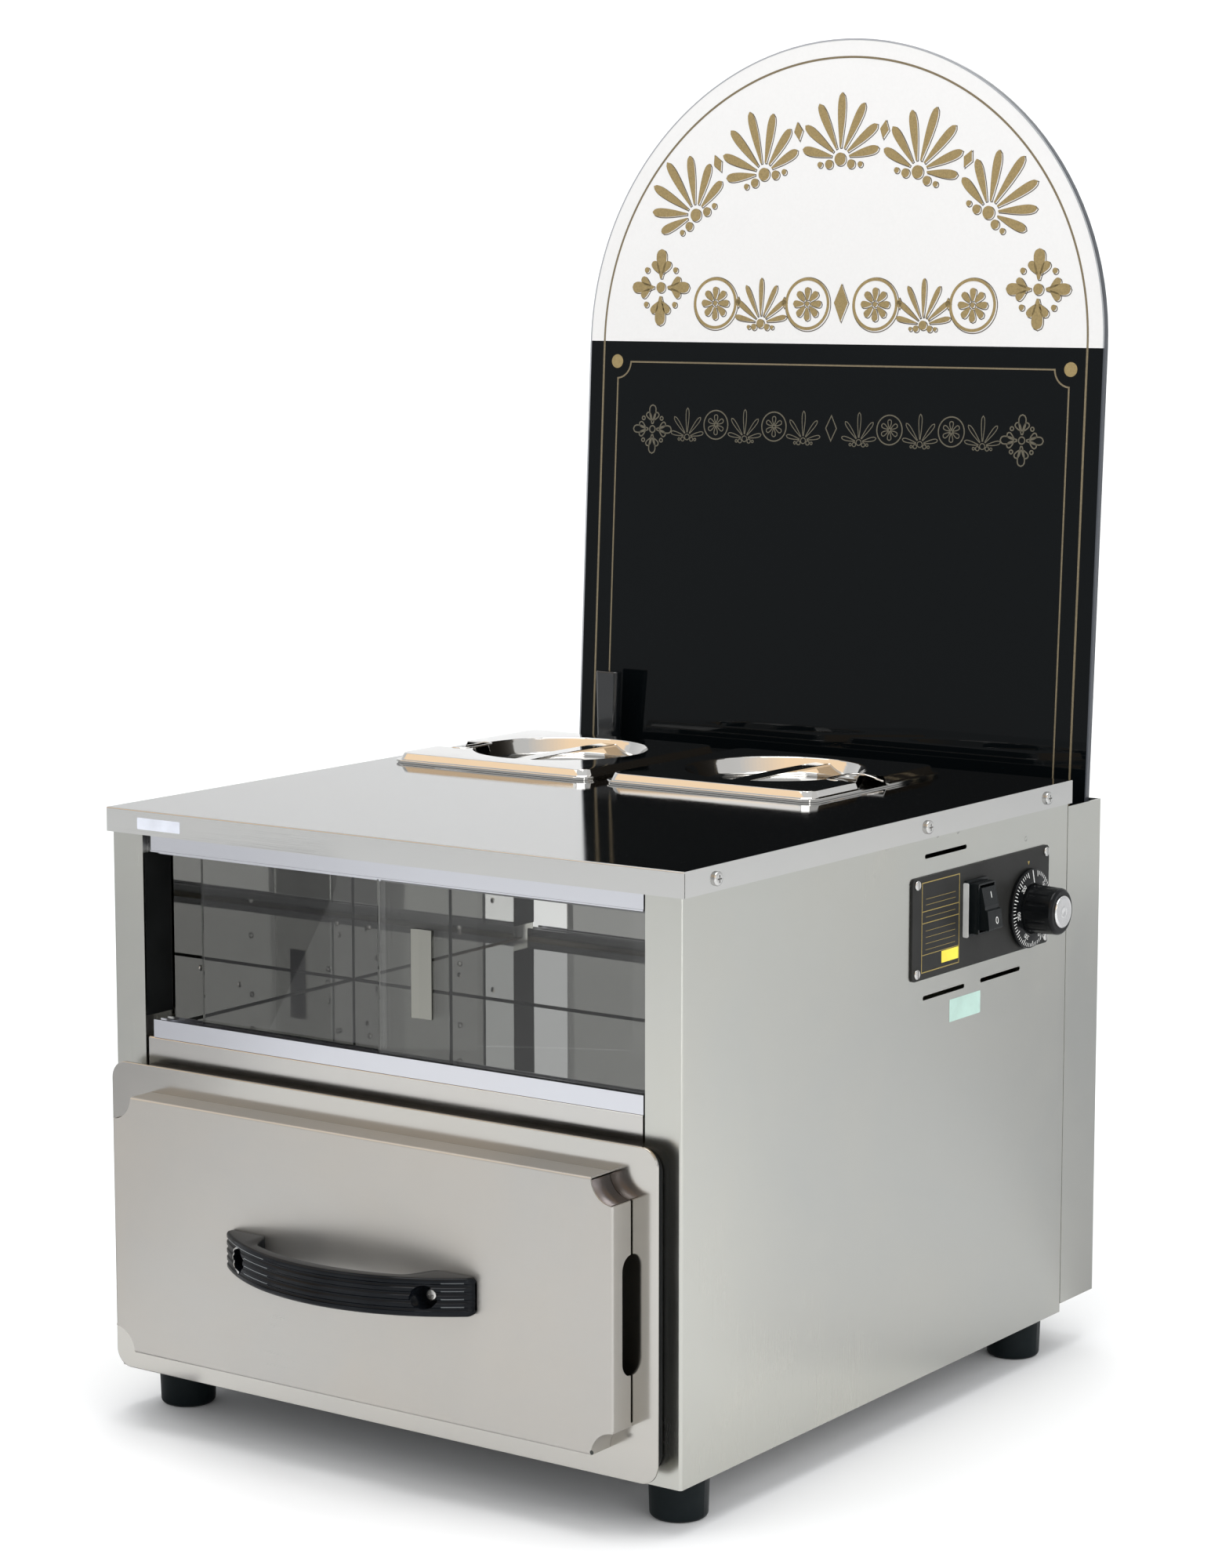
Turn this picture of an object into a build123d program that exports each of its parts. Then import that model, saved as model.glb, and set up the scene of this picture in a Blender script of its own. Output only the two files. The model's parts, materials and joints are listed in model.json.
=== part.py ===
from build123d import *
import math
import os

os.makedirs("parts", exist_ok=True)

# ---------------------------------------------------------------------------
# Counter-top baked potato oven with a glazed display, two lidded pans in the
# top, a front oven drawer and a tall arched menu board at the back.
# Local dimensions are taken from the middle of the casing (x), the front edge
# of the top (y) and the surface it stands on (z), in millimetres.
# ---------------------------------------------------------------------------
CX = -13.2            # casing middle in the part frame, so the box is centred
FY = -259.867          # front edge of the top in the part frame

sheet = 1.2           # casing sheet thickness
liner = 1.0           # liner sheet thickness

body_half = 247.5     # half width over the side panels
body_front = 2.5      # front face of the posts
body_rear = 519.2     # rear face of the back panel
body_bottom = 32.5
post_inner = 218.5    # inner edge of the front posts

top_half = 250.5
top_depth = 520.5
top_z = 445.2
top_flange = 17.5

cover_rear = 571.0    # rear face of the rear cover
cover_bottom = 39.0
cover_top = 425.0

foot_r = 21.0
foot_x = 219.0
foot_y0 = 42.0
foot_y1 = 498.0

track_z0 = 281.0      # underside of the lower glass track
track_lip = 13.0
track_top = 427.5
track_y0 = 3.4
pane_w = 224.0
pane_t = 4.0
pane_z0 = 283.2
pane_z1 = 421.5
rear_pane_open = 43.5

disp_half = 216.2     # display cavity, inside faces
disp_y0 = 32.0
disp_y1 = 237.0
disp_z0 = 285.5
disp_z1 = 424.0
blanket_top = 284.4

oven_half = 205.0     # oven chamber, inside faces
oven_y0 = 4.5
oven_y1 = 480.0
oven_z0 = 50.0
oven_z1 = 252.0

plate_half = 238.5    # drawer front plate
plate_z0 = 37.5
plate_z1 = 264.0
plate_y = -12.5
plate_t = 2.0
plate_r = 13.0

skin_half = 218.5     # outer skin of the drawer front
skin_z0 = 58.0
skin_z1 = 245.0
skin_y = -34.5
skin_notch = 17.5

handle_half = 108.0
handle_apex = -80.0
handle_z = 150.3
handle_h = 26.6
handle_screw_x = 81.0
handle_recess_y = -46.8

basket_half = 176.0   # drawer basket, inside
basket_z0 = 82.0
basket_z1 = 200.0
basket_y1 = 440.0

pan_half = 93.0       # pan rim
pan_y = 397.0
pan_left_x = -139.0
pan_right_x = 62.5
pan_body = 168.0
pan_depth = 100.0
lid_half = 94.0
dish_w = 138.0
dish_r = 62.0
dish_y = pan_y + 3.0
lid_rise = 452.8

ctl_y0 = 289.3        # control plate
ctl_y1 = 488.2
ctl_z0 = 326.3
ctl_z1 = 400.3
dial_y = 457.0
dial_z = 356.4
dial_r = 29.8
switch_y0 = 366.0
switch_y1 = 391.0
switch_z0 = 350.5
switch_z1 = 387.5

lean = math.radians(3.0)
sign_half = 239.0
sign_t = 6.0
sign_z0 = 330.0
sign_square = 437.4   # straight height of the board along its lean
sign_y0 = 563.3 - math.tan(lean) * (424.0 - sign_z0)

# Base planes.  FLOOR: x right, y back.  FRONT: x right, y up, normal to the
# front.  SIDE: x back, y up, normal to the right.
FLOOR = Plane(origin=(CX, FY, 0), x_dir=(1, 0, 0), z_dir=(0, 0, 1))
FRONT = Plane(origin=(CX, FY, 0), x_dir=(1, 0, 0), z_dir=(0, -1, 0))
SIDE = Plane(origin=(CX, FY, 0), x_dir=(0, 1, 0), z_dir=(1, 0, 0))
SIGN = Plane(
    origin=(CX, FY + sign_y0, sign_z0),
    x_dir=(1, 0, 0),
    z_dir=(0, -math.cos(lean), math.sin(lean)),
)
SIGN_SIDE = Plane(
    origin=(CX, FY + sign_y0, sign_z0),
    x_dir=(0, math.cos(lean), -math.sin(lean)),
    z_dir=(1, 0, 0),
)


def slab(x0, x1, y0, y1, z0, z1, mode=Mode.ADD, r=0.0):
    """Upright block between local limits, with rounded corners in plan."""
    with BuildSketch(FLOOR.offset(z0)) as s:
        with Locations(((x0 + x1) / 2, (y0 + y1) / 2)):
            if r > 0:
                RectangleRounded(x1 - x0, y1 - y0, r)
            else:
                Rectangle(x1 - x0, y1 - y0)
    extrude(s.sketch, amount=z1 - z0, mode=mode)


def slab_front(x0, x1, y0, y1, z0, z1, mode=Mode.ADD, r=0.0):
    """Block between local limits, with rounded corners in the front view."""
    with BuildSketch(FRONT.offset(-y1)) as s:
        with Locations(((x0 + x1) / 2, (z0 + z1) / 2)):
            if r > 0:
                RectangleRounded(x1 - x0, z1 - z0, r)
            else:
                Rectangle(x1 - x0, z1 - z0)
    extrude(s.sketch, amount=y1 - y0, mode=mode)


def slab_side(x0, x1, y0, y1, z0, z1, mode=Mode.ADD, r=0.0):
    """Block between local limits, with rounded corners in the side view."""
    with BuildSketch(SIDE.offset(x0)) as s:
        with Locations(((y0 + y1) / 2, (z0 + z1) / 2)):
            if r > 0:
                RectangleRounded(y1 - y0, z1 - z0, r)
            else:
                Rectangle(y1 - y0, z1 - z0)
    extrude(s.sketch, amount=x1 - x0, mode=mode)


def rod_x(y, z, x0, x1, radius, mode=Mode.ADD):
    with BuildSketch(SIDE.offset(x0)) as s:
        with Locations((y, z)):
            Circle(radius)
    extrude(s.sketch, amount=x1 - x0, mode=mode)


def rod_y(x, z, y0, y1, radius, mode=Mode.ADD):
    with BuildSketch(FRONT.offset(-y1)) as s:
        with Locations((x, z)):
            Circle(radius)
    extrude(s.sketch, amount=y1 - y0, mode=mode)


def rod_z(x, y, z0, z1, radius, mode=Mode.ADD):
    with BuildSketch(FLOOR.offset(z0)) as s:
        with Locations((x, y)):
            Circle(radius)
    extrude(s.sketch, amount=z1 - z0, mode=mode)


def hex_y(x, z, y0, y1, radius, mode=Mode.ADD):
    with BuildSketch(FRONT.offset(-y1)) as s:
        with Locations((x, z)):
            RegularPolygon(radius, 6)
    extrude(s.sketch, amount=y1 - y0, mode=mode)


def hex_z(x, y, z0, z1, radius, mode=Mode.ADD):
    with BuildSketch(FLOOR.offset(z0)) as s:
        with Locations((x, y)):
            RegularPolygon(radius, 6)
    extrude(s.sketch, amount=z1 - z0, mode=mode)


foot_spots = [(-foot_x, foot_y0), (foot_x, foot_y0), (-foot_x, foot_y1), (foot_x, foot_y1)]

# ------------------------------------------------------------------ casing --
with BuildPart() as base_tray:
    slab(-246.2, 246.2, 4.5, 517.8, body_bottom, body_bottom + sheet)
    slab(-217.2, 217.2, body_front, 4.5, body_bottom, body_bottom + sheet)
    slab(-217.2, 217.2, body_front, body_front + sheet, body_bottom, 51.8)
    slab(-246.2, 246.2, 516.6, 517.8, body_bottom, 60.0)
    slab(-260, -217.2, 0, 31.8, 30, 60, mode=Mode.SUBTRACT)
    slab(217.2, 260, 0, 31.8, 30, 60, mode=Mode.SUBTRACT)
    for fx, fy in foot_spots:
        rod_z(fx, fy, 30, 36, 3.3, mode=Mode.SUBTRACT)
base_tray.part.label = "base_tray"
export_step(base_tray.part, "parts/base_tray.step")

side_profile = [
    (body_half, body_front), (body_half, body_rear), (body_half - sheet, body_rear),
    (body_half - sheet, body_front + sheet), (post_inner + sheet, body_front + sheet),
    (post_inner + sheet, 31.0), (post_inner, 31.0), (post_inner, body_front),
]

with BuildPart() as side_panel_left:
    with BuildSketch(FLOOR.offset(body_bottom)):
        with BuildLine():
            Polyline([(-x, y) for x, y in side_profile], close=True)
        make_face()
    extrude(amount=444.0 - body_bottom)
    fillet(side_panel_left.edges().filter_by(Axis.Z).group_by(Axis.Y)[0].sort_by(Axis.X)[0], radius=2.0)
    for sy in (37.5, 307.0, 481.5):
        rod_x(sy, 436.0, -255, -240, 2.6, mode=Mode.SUBTRACT)
side_panel_left.part.label = "side_panel_left"
export_step(side_panel_left.part, "parts/side_panel_left.step")

with BuildPart() as side_panel_right:
    with BuildSketch(FLOOR.offset(body_bottom)):
        with BuildLine():
            Polyline(side_profile, close=True)
        make_face()
    extrude(amount=444.0 - body_bottom)
    fillet(side_panel_right.edges().filter_by(Axis.Z).group_by(Axis.Y)[0].sort_by(Axis.X)[-1], radius=2.0)
    for sy in (37.5, 307.0, 481.5):
        rod_x(sy, 436.0, 240, 255, 2.6, mode=Mode.SUBTRACT)
    # three cooling slots, the switch and thermostat openings
    for vy, vz in ((337.8, 414.2), (336.8, 312.1), (419.0, 312.1)):
        with BuildSketch(SIDE.offset(240)) as slot:
            with Locations((vy, vz)):
                SlotOverall(59.0, 3.2)
        extrude(slot.sketch, amount=15, mode=Mode.SUBTRACT)
    slab_side(240, 255, switch_y0 + 1.2, switch_y1 - 1.2, switch_z0 + 1.2, switch_z1 - 1.2, mode=Mode.SUBTRACT)
    rod_x(dial_y, dial_z, 240, 255, 6.0, mode=Mode.SUBTRACT)
    for sy in (295.3, 483.2):
        for sz in (331.5, 395.4):
            rod_x(sy, sz, 240, 255, 1.8, mode=Mode.SUBTRACT)
side_panel_right.part.label = "side_panel_right"
export_step(side_panel_right.part, "parts/side_panel_right.step")

with BuildPart() as back_panel:
    slab_front(-246.2, 246.2, 518.0, body_rear, 33.8, 443.9)
    rod_y(150, 110, 510, 525, 10.0, mode=Mode.SUBTRACT)
    # louvre slots into the rear channel, behind the control compartment
    for lz in (300.0, 312.0, 324.0):
        slab_front(110, 180, 510, 525, lz, lz + 4.0, mode=Mode.SUBTRACT, r=1.9)
back_panel.part.label = "back_panel"
export_step(back_panel.part, "parts/back_panel.step")

gland_x = 180.0
gland_z = 85.0

with BuildPart() as rear_cover:
    with BuildSketch(FLOOR.offset(cover_bottom)):
        with BuildLine():
            Polyline([
                (247.8, 519.4), (247.8, cover_rear), (-247.8, cover_rear), (-247.8, 519.4),
                (-232.0, 519.4), (-232.0, 520.6), (-246.6, 520.6), (-246.6, cover_rear - sheet),
                (246.6, cover_rear - sheet), (246.6, 520.6), (232.0, 520.6), (232.0, 519.4),
            ], close=True)
        make_face()
    extrude(amount=cover_top - cover_bottom)
    slab(-246.6, 246.6, 520.6, cover_rear - sheet, cover_bottom, cover_bottom + sheet)
    rod_y(gland_x, gland_z, 560, 575, 8.2, mode=Mode.SUBTRACT)
    for sx in (-240.0, 240.0):
        for sz in (60.0, 232.0, 404.0):
            rod_y(sx, sz, 515, 522, 1.8, mode=Mode.SUBTRACT)
rear_cover.part.label = "rear_cover"
export_step(rear_cover.part, "parts/rear_cover.step")

with BuildPart() as top_lid:
    slab(-top_half, top_half, 0, top_depth, top_z - top_flange, top_z)
    slab(-top_half + sheet, top_half - sheet, sheet, top_depth - sheet, top_z - top_flange - 5, top_z - sheet,
         mode=Mode.SUBTRACT)
    fillet(top_lid.edges().filter_by(Axis.X).group_by(Axis.Z)[-1], radius=1.0)
    for px in (pan_left_x, pan_right_x):
        slab(px - 87, px + 87, pan_y - 87, pan_y + 87, 440, 450, mode=Mode.SUBTRACT, r=20)
    for sy in (37.5, 307.0, 481.5):
        rod_x(sy, 436.0, -255, -245, 2.6, mode=Mode.SUBTRACT)
        rod_x(sy, 436.0, 245, 255, 2.6, mode=Mode.SUBTRACT)
    # open folded seam at the two front corners
    slab(-252, -249.9, 0.5, 1.3, 426, 444.2, mode=Mode.SUBTRACT)
    slab(249.9, 252, 0.5, 1.3, 426, 444.2, mode=Mode.SUBTRACT)
top_lid.part.label = "top_lid"
export_step(top_lid.part, "parts/top_lid.step")

with BuildPart() as lid_screws:
    for sign in (-1, 1):
        for sy in (37.5, 307.0, 481.5):
            x0, x1 = sorted((sign * top_half, sign * (top_half + 2.6)))
            rod_x(sy, 436.0, x0, x1, 4.9)
            x0, x1 = sorted((sign * (body_half - 5.5), sign * top_half))
            rod_x(sy, 436.0, x0, x1, 2.4)
    heads = lid_screws.edges().filter_by(GeomType.CIRCLE).group_by(Axis.X)
    fillet([*heads[0], *heads[-1]], radius=1.6)
    # cross recess in each head
    for sign in (-1, 1):
        for sy in (37.5, 307.0, 481.5):
            x0, x1 = sorted((sign * (top_half + 1.1), sign * (top_half + 4.0)))
            slab_side(x0, x1, sy - 2.6, sy + 2.6, 435.5, 436.5, mode=Mode.SUBTRACT)
            slab_side(x0, x1, sy - 0.5, sy + 0.5, 433.4, 438.6, mode=Mode.SUBTRACT)
lid_screws.part.label = "lid_screws"
export_step(lid_screws.part, "parts/lid_screws.step")

with BuildPart() as rear_cover_screws:
    for sx in (-240.0, 240.0):
        for sz in (60.0, 232.0, 404.0):
            rod_y(sx, sz, 520.6, 522.8, 3.6)
            rod_y(sx, sz, 519.4, 520.6, 1.7)
rear_cover_screws.part.label = "rear_cover_screws"
export_step(rear_cover_screws.part, "parts/rear_cover_screws.step")

with BuildPart() as front_sill:
    slab(-216.3, 216.3, 3.2, 4.4, 243.0, track_z0)
    slab(-216.3, 216.3, 3.2, 31.6, track_z0 - sheet, track_z0)
    chamfer(front_sill.edges().filter_by(Axis.X).group_by(Axis.Z)[-1].sort_by(Axis.Y)[0], length=0.8)
front_sill.part.label = "front_sill"
export_step(front_sill.part, "parts/front_sill.step")

# ----------------------------------------------------------------- glazing --
with BuildPart() as glass_track_bottom:
    with BuildSketch(SIDE.offset(-211.5)):
        with BuildLine():
            Polyline([
                (3.4, 281.0), (19.6, 281.0), (19.6, 293.8), (18.2, 293.8), (18.2, 282.6),
                (12.2, 282.6), (12.2, 293.8), (10.8, 293.8), (10.8, 282.6), (4.8, 282.6),
                (4.8, 294.0), (3.4, 294.0),
            ], close=True)
        make_face()
    extrude(amount=211.5 + 216.6)
glass_track_bottom.part.label = "glass_track_bottom"
export_step(glass_track_bottom.part, "parts/glass_track_bottom.step")

with BuildPart() as glass_track_top:
    with BuildSketch(SIDE.offset(-211.5)):
        with BuildLine():
            Polyline([
                (3.4, 427.5), (19.6, 427.5), (19.6, 413.4), (18.2, 413.4), (18.2, 425.9),
                (12.2, 425.9), (12.2, 413.4), (10.8, 413.4), (10.8, 425.9), (4.8, 425.9),
                (4.8, 415.8), (2.9, 415.8), (2.9, 416.8), (3.4, 416.8),
            ], close=True)
        make_face()
    extrude(amount=211.5 + 216.6)
glass_track_top.part.label = "glass_track_top"
export_step(glass_track_top.part, "parts/glass_track_top.step")

with BuildPart() as glass_pane_front:
    slab_front(217.0 - pane_w, 217.0, 5.8, 5.8 + pane_t, pane_z0, pane_z1)
    chamfer(glass_pane_front.edges().filter_by(Axis.Z), length=0.4)
glass_pane_front.part.label = "glass_pane_front"
export_step(glass_pane_front.part, "parts/glass_pane_front.step")

with BuildPart() as glass_pane_rear:
    slab_front(-217.0 + rear_pane_open, -217.0 + rear_pane_open + pane_w, 13.2, 13.2 + pane_t, pane_z0, pane_z1)
    chamfer(glass_pane_rear.edges().filter_by(Axis.Z), length=0.4)
glass_pane_rear.part.label = "glass_pane_rear"
export_step(glass_pane_rear.part, "parts/glass_pane_rear.step")

with BuildPart() as pane_pull:
    with BuildSketch(FLOOR.offset(323.0)):
        with BuildLine():
            Polyline([
                (24.0, 5.8), (41.0, 5.8), (41.0, 4.4), (30.0, 4.4), (24.4, 3.2), (24.0, 3.4),
            ], close=True)
        make_face()
    extrude(amount=61.5)
pane_pull.part.label = "pane_pull"
export_step(pane_pull.part, "parts/pane_pull.step")

# ---------------------------------------------------------- display cavity --
with BuildPart() as display_liner:
    slab(-disp_half - liner, disp_half + liner, disp_y0, disp_y1 + liner, disp_z0 - liner, disp_z1 + liner)
    slab(-disp_half, disp_half, disp_y0 - 5, disp_y1, disp_z0, disp_z1, mode=Mode.SUBTRACT)
display_liner.part.label = "display_liner"
export_step(display_liner.part, "parts/display_liner.step")

with BuildPart() as divider_board:
    slab(-216.0, 216.0, disp_y1 + liner, 262.0, blanket_top, 443.8)
divider_board.part.label = "divider_board"
export_step(divider_board.part, "parts/divider_board.step")

# ------------------------------------------------------------------- oven --
with BuildPart() as oven_chamber:
    slab(-oven_half - liner, oven_half + liner, oven_y0, oven_y1 + liner, oven_z0 - liner, oven_z1 + liner)
    slab_front(-217.0, 217.0, oven_y0, oven_y0 + liner, 36.0, 262.0)
    slab(-oven_half, oven_half, oven_y0 - 5, oven_y1, oven_z0, oven_z1, mode=Mode.SUBTRACT)
    for ex in (-60.0, 60.0):
        rod_y(ex, 238.0, 470, 490, 5.0, mode=Mode.SUBTRACT)
        rod_y(ex, 62.0, 470, 490, 5.0, mode=Mode.SUBTRACT)
    rod_z(196.0, 412.0, 248, 258, 2.2, mode=Mode.SUBTRACT)
oven_chamber.part.label = "oven_chamber"
export_step(oven_chamber.part, "parts/oven_chamber.step")

with BuildPart() as insulation_blanket:
    slab(-245.4, 245.4, 32.6, 515.9, 35.2, blanket_top)
    slab(-oven_half - 1.6, oven_half + 1.6, 20, oven_y1 + 1.6, oven_z0 - 1.6, oven_z1 + 1.6, mode=Mode.SUBTRACT)
    for ez in (238.0, 62.0):
        slab_front(-80, 80, 470, 520, ez - 14, ez + 14, mode=Mode.SUBTRACT)
    slab(186.0, 206.0, 402.0, 452.0, 240, 290, mode=Mode.SUBTRACT)
    for fx, fy in foot_spots:
        rod_z(fx, fy, 30, 46, 9.0, mode=Mode.SUBTRACT)
insulation_blanket.part.label = "insulation_blanket"
export_step(insulation_blanket.part, "parts/insulation_blanket.step")


# Tubular element: a hairpin that loops forward and comes back, with its two
# ends through the rear wall of the chamber.
def hairpin(z, out_x, y_front):
    with BuildPart() as loop:
        with BuildLine(FLOOR.offset(z)) as path:
            FilletPolyline(
                (-60, 506), (-60, 440), (-out_x, 440), (-out_x, y_front), (-50, y_front), (-50, 400),
                (50, 400), (50, y_front), (out_x, y_front), (out_x, 440), (60, 440), (60, 506),
                radius=22,
            )
        with BuildSketch(Plane(origin=path.line @ 0, z_dir=path.line % 0)):
            Circle(4.0)
        sweep(path=path.line)
    return loop


with BuildPart() as heating_elements:
    add(hairpin(238.0, 150.0, 60.0).part)
    add(hairpin(62.0, 150.0, 60.0).part)
heating_elements.part.label = "heating_elements"
export_step(heating_elements.part, "parts/heating_elements.step")

with BuildPart() as element_bushes:
    for ex in (-60.0, 60.0):
        for ez in (238.0, 62.0):
            rod_y(ex, ez, 481.2, 487.0, 8.0)
            rod_y(ex, ez, 476.0, 481.2, 4.9)
            rod_y(ex, ez, 470.0, 490.0, 4.05, mode=Mode.SUBTRACT)
element_bushes.part.label = "element_bushes"
export_step(element_bushes.part, "parts/element_bushes.step")

# -------------------------------------------------------------- pan well --
with BuildPart() as well_liner:
    slab(-240.0, 167.0, 291.0, 505.0, 335.0, 443.9)
    slab(-239.0, 166.0, 292.0, 504.0, 336.0, 450, mode=Mode.SUBTRACT)
well_liner.part.label = "well_liner"
export_step(well_liner.part, "parts/well_liner.step")

with BuildPart() as well_heater:
    slab(-220.0, 147.0, 305.0, 490.0, 330.5, 334.9, r=8)
    slab(-50.0, -23.0, 300.0, 316.0, 326.5, 330.5)
well_heater.part.label = "well_heater"
export_step(well_heater.part, "parts/well_heater.step")


def pan_shape(px):
    """Open pan with a flat rim, drawn about its own middle."""
    with BuildPart() as pan:
        slab(px - pan_half, px + pan_half, pan_y - pan_half, pan_y + pan_half, 445.4, 446.4, r=12)
        with BuildSketch(FLOOR.offset(446.4)) as outer:
            with Locations((px, pan_y)):
                RectangleRounded(pan_body, pan_body, 22)
        extrude(outer.sketch, amount=-pan_depth, taper=3)
        with BuildSketch(FLOOR.offset(446.4)) as inner:
            with Locations((px, pan_y)):
                RectangleRounded(pan_body - 2, pan_body - 2, 21)
        extrude(inner.sketch, amount=-(pan_depth - 1.0), taper=3, mode=Mode.SUBTRACT)
    return pan


with BuildPart() as pan_left:
    add(pan_shape(pan_left_x).part)
pan_left.part.label = "pan_left"
export_step(pan_left.part, "parts/pan_left.step")

with BuildPart() as pan_right:
    add(pan_shape(pan_right_x).part)
pan_right.part.label = "pan_right"
export_step(pan_right.part, "parts/pan_right.step")


def lid_shape(px, notch_side, notch_y):
    """Pressed lid: flat rim, raised frame, deep round dish with a bar grip, and a ladle notch."""
    with BuildPart() as lid:
        slab(px - lid_half, px + lid_half, pan_y - lid_half, pan_y + lid_half, 446.6, 447.8, r=13)
        with BuildSketch(FLOOR.offset(447.8)) as frame_out:
            with Locations((px, pan_y)):
                RectangleRounded(182, 182, 11)
        extrude(frame_out.sketch, amount=lid_rise - 447.8, taper=24)
        with BuildSketch(FLOOR.offset(446.6)) as frame_in:
            with Locations((px, pan_y)):
                RectangleRounded(179, 179, 10)
        extrude(frame_in.sketch, amount=lid_rise - 1.0 - 446.6, taper=22, mode=Mode.SUBTRACT)
        with BuildSketch(FLOOR.offset(lid_rise)) as dish_out:
            with Locations((px, dish_y)):
                RectangleRounded(dish_w, dish_w, dish_r)
        extrude(dish_out.sketch, amount=-14.6, taper=22)
        with BuildSketch(FLOOR.offset(lid_rise)) as dish_in:
            with Locations((px, dish_y)):
                RectangleRounded(dish_w - 2.4, dish_w - 2.4, dish_r - 1.2)
        extrude(dish_in.sketch, amount=-13.6, taper=22, mode=Mode.SUBTRACT)
        xa, xb = sorted((px + notch_side * 61.0, px + notch_side * 96.0))
        slab(xa, xb, notch_y - 20.0, notch_y + 20.0, 443.0, 460.0, mode=Mode.SUBTRACT, r=8)
        xa, xb = sorted((px + notch_side * 80.0, px + notch_side * 96.0))
        slab(xa, xb, notch_y - 20.0, notch_y + 20.0, 443.0, 460.0, mode=Mode.SUBTRACT)
        # grip: a flat bar welded across the dish
        slab(px - 7.0, px + 7.0, dish_y - dish_w / 2 + 2.4, dish_y + dish_w / 2 - 2.4, 447.6, 449.6)
    return lid


with BuildPart() as pan_lid_left:
    add(lid_shape(pan_left_x, -1, 376.0).part)
pan_lid_left.part.label = "pan_lid_left"
export_step(pan_lid_left.part, "parts/pan_lid_left.step")

with BuildPart() as pan_lid_right:
    add(lid_shape(pan_right_x, 1, 390.0).part)
pan_lid_right.part.label = "pan_lid_right"
export_step(pan_lid_right.part, "parts/pan_lid_right.step")

# ----------------------------------------------------------------- drawer --
with BuildPart() as drawer_plate:
    slab_front(-plate_half, plate_half, plate_y, plate_y + plate_t, plate_z0, plate_z1, r=plate_r)
    fillet(drawer_plate.edges().group_by(Axis.Y)[0], radius=0.7)
drawer_plate.part.label = "drawer_plate"
export_step(drawer_plate.part, "parts/drawer_plate.step")

with BuildPart() as drawer_gasket:
    slab_front(-plate_half + 0.6, plate_half - 0.6, plate_y + plate_t, 2.3, plate_z0 + 0.6, plate_z1 - 0.6, r=plate_r)
    slab_front(-plate_half + 13, plate_half - 13, plate_y, 4, plate_z0 + 13, plate_z1 - 13, mode=Mode.SUBTRACT, r=4)
    # rounded lip round the sealing face
    fillet(drawer_gasket.edges().group_by(Axis.Y)[-1].filter_by(GeomType.LINE), radius=1.5)
drawer_gasket.part.label = "drawer_gasket"
export_step(drawer_gasket.part, "parts/drawer_gasket.step")

skin_back = plate_y - 0.1
with BuildPart() as drawer_skin:
    slab(-skin_half, skin_half, skin_y, skin_back, skin_z0, skin_z1)
    fillet(drawer_skin.edges().group_by(Axis.Y)[0], radius=1.9)
    slab(-skin_half + sheet, skin_half - sheet, skin_y + sheet, skin_back + 5, skin_z0 + sheet, skin_z1 - sheet,
         mode=Mode.SUBTRACT)
    # curved gusset behind each lower corner notch
    for side in (-1, 1):
        with BuildSketch(FRONT.offset(-skin_back)) as gusset:
            with Locations((side * skin_half, skin_z0)):
                Circle(skin_notch + sheet)
            with Locations((side * (skin_half - 15.0), skin_z0 + 15.0)):
                Rectangle(30.0, 30.0, mode=Mode.INTERSECT)
        extrude(gusset.sketch, amount=skin_back - skin_y - 0.6)
    for cx in (-skin_half, skin_half):
        for cz in (skin_z0, skin_z1):
            rod_y(cx, cz, -40, -5, skin_notch, mode=Mode.SUBTRACT)
        # open joint between the side flange and the plate
        slab(cx - 2.0, cx + 2.0, skin_back - 1.1, skin_back + 1, skin_z0 + 20.0, skin_z1 - 12.0, mode=Mode.SUBTRACT)
    # half slot in the rear edge of each side flange
    for cx in (-skin_half, skin_half):
        slab_side(cx - 4, cx + 4, -23.3, -2.0, 110.0, 191.5, mode=Mode.SUBTRACT, r=10.0)
    for sx in (-handle_screw_x, handle_screw_x):
        rod_y(sx, handle_z, -40, -30, 2.7, mode=Mode.SUBTRACT)
drawer_skin.part.label = "drawer_skin"
export_step(drawer_skin.part, "parts/drawer_skin.step")

with BuildPart() as drawer_basket:
    slab(-basket_half - sheet, basket_half + sheet, -10.4, basket_y1 + sheet, basket_z0 - sheet, basket_z1)
    slab(-basket_half, basket_half, -10.4 + sheet, basket_y1, basket_z0, basket_z1 + 5, mode=Mode.SUBTRACT)
    # slotted floor and side walls let the hot air through
    with BuildSketch(FLOOR.offset(basket_z0 - 5)) as floor_slots:
        with Locations((0, 215)):
            with GridLocations(44, 40, 8, 10):
                SlotOverall(32, 7)
    extrude(floor_slots.sketch, amount=10, mode=Mode.SUBTRACT)
    with BuildSketch(SIDE.offset(-185)) as wall_slots:
        with Locations((215, 118)):
            with GridLocations(44, 22, 9, 2):
                SlotOverall(30, 7)
    extrude(wall_slots.sketch, amount=370, mode=Mode.SUBTRACT)
drawer_basket.part.label = "drawer_basket"
export_step(drawer_basket.part, "parts/drawer_basket.step")

rail_z = 160.0
with BuildPart() as drawer_rails:
    for side in (-1, 1):
        x0, x1 = sorted((side * (basket_half + sheet), side * 201.0))
        slab(x0, x1, 8.0, 432.0, rail_z - 6.5, rail_z + 6.5)
        x0, x1 = sorted((side * (basket_half + sheet + 2), side * 198.0))
        slab(x0, x1, 20.0, 420.0, rail_z - 7.0, rail_z + 4.5, mode=Mode.SUBTRACT)
drawer_rails.part.label = "drawer_rails"
export_step(drawer_rails.part, "parts/drawer_rails.step")

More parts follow.
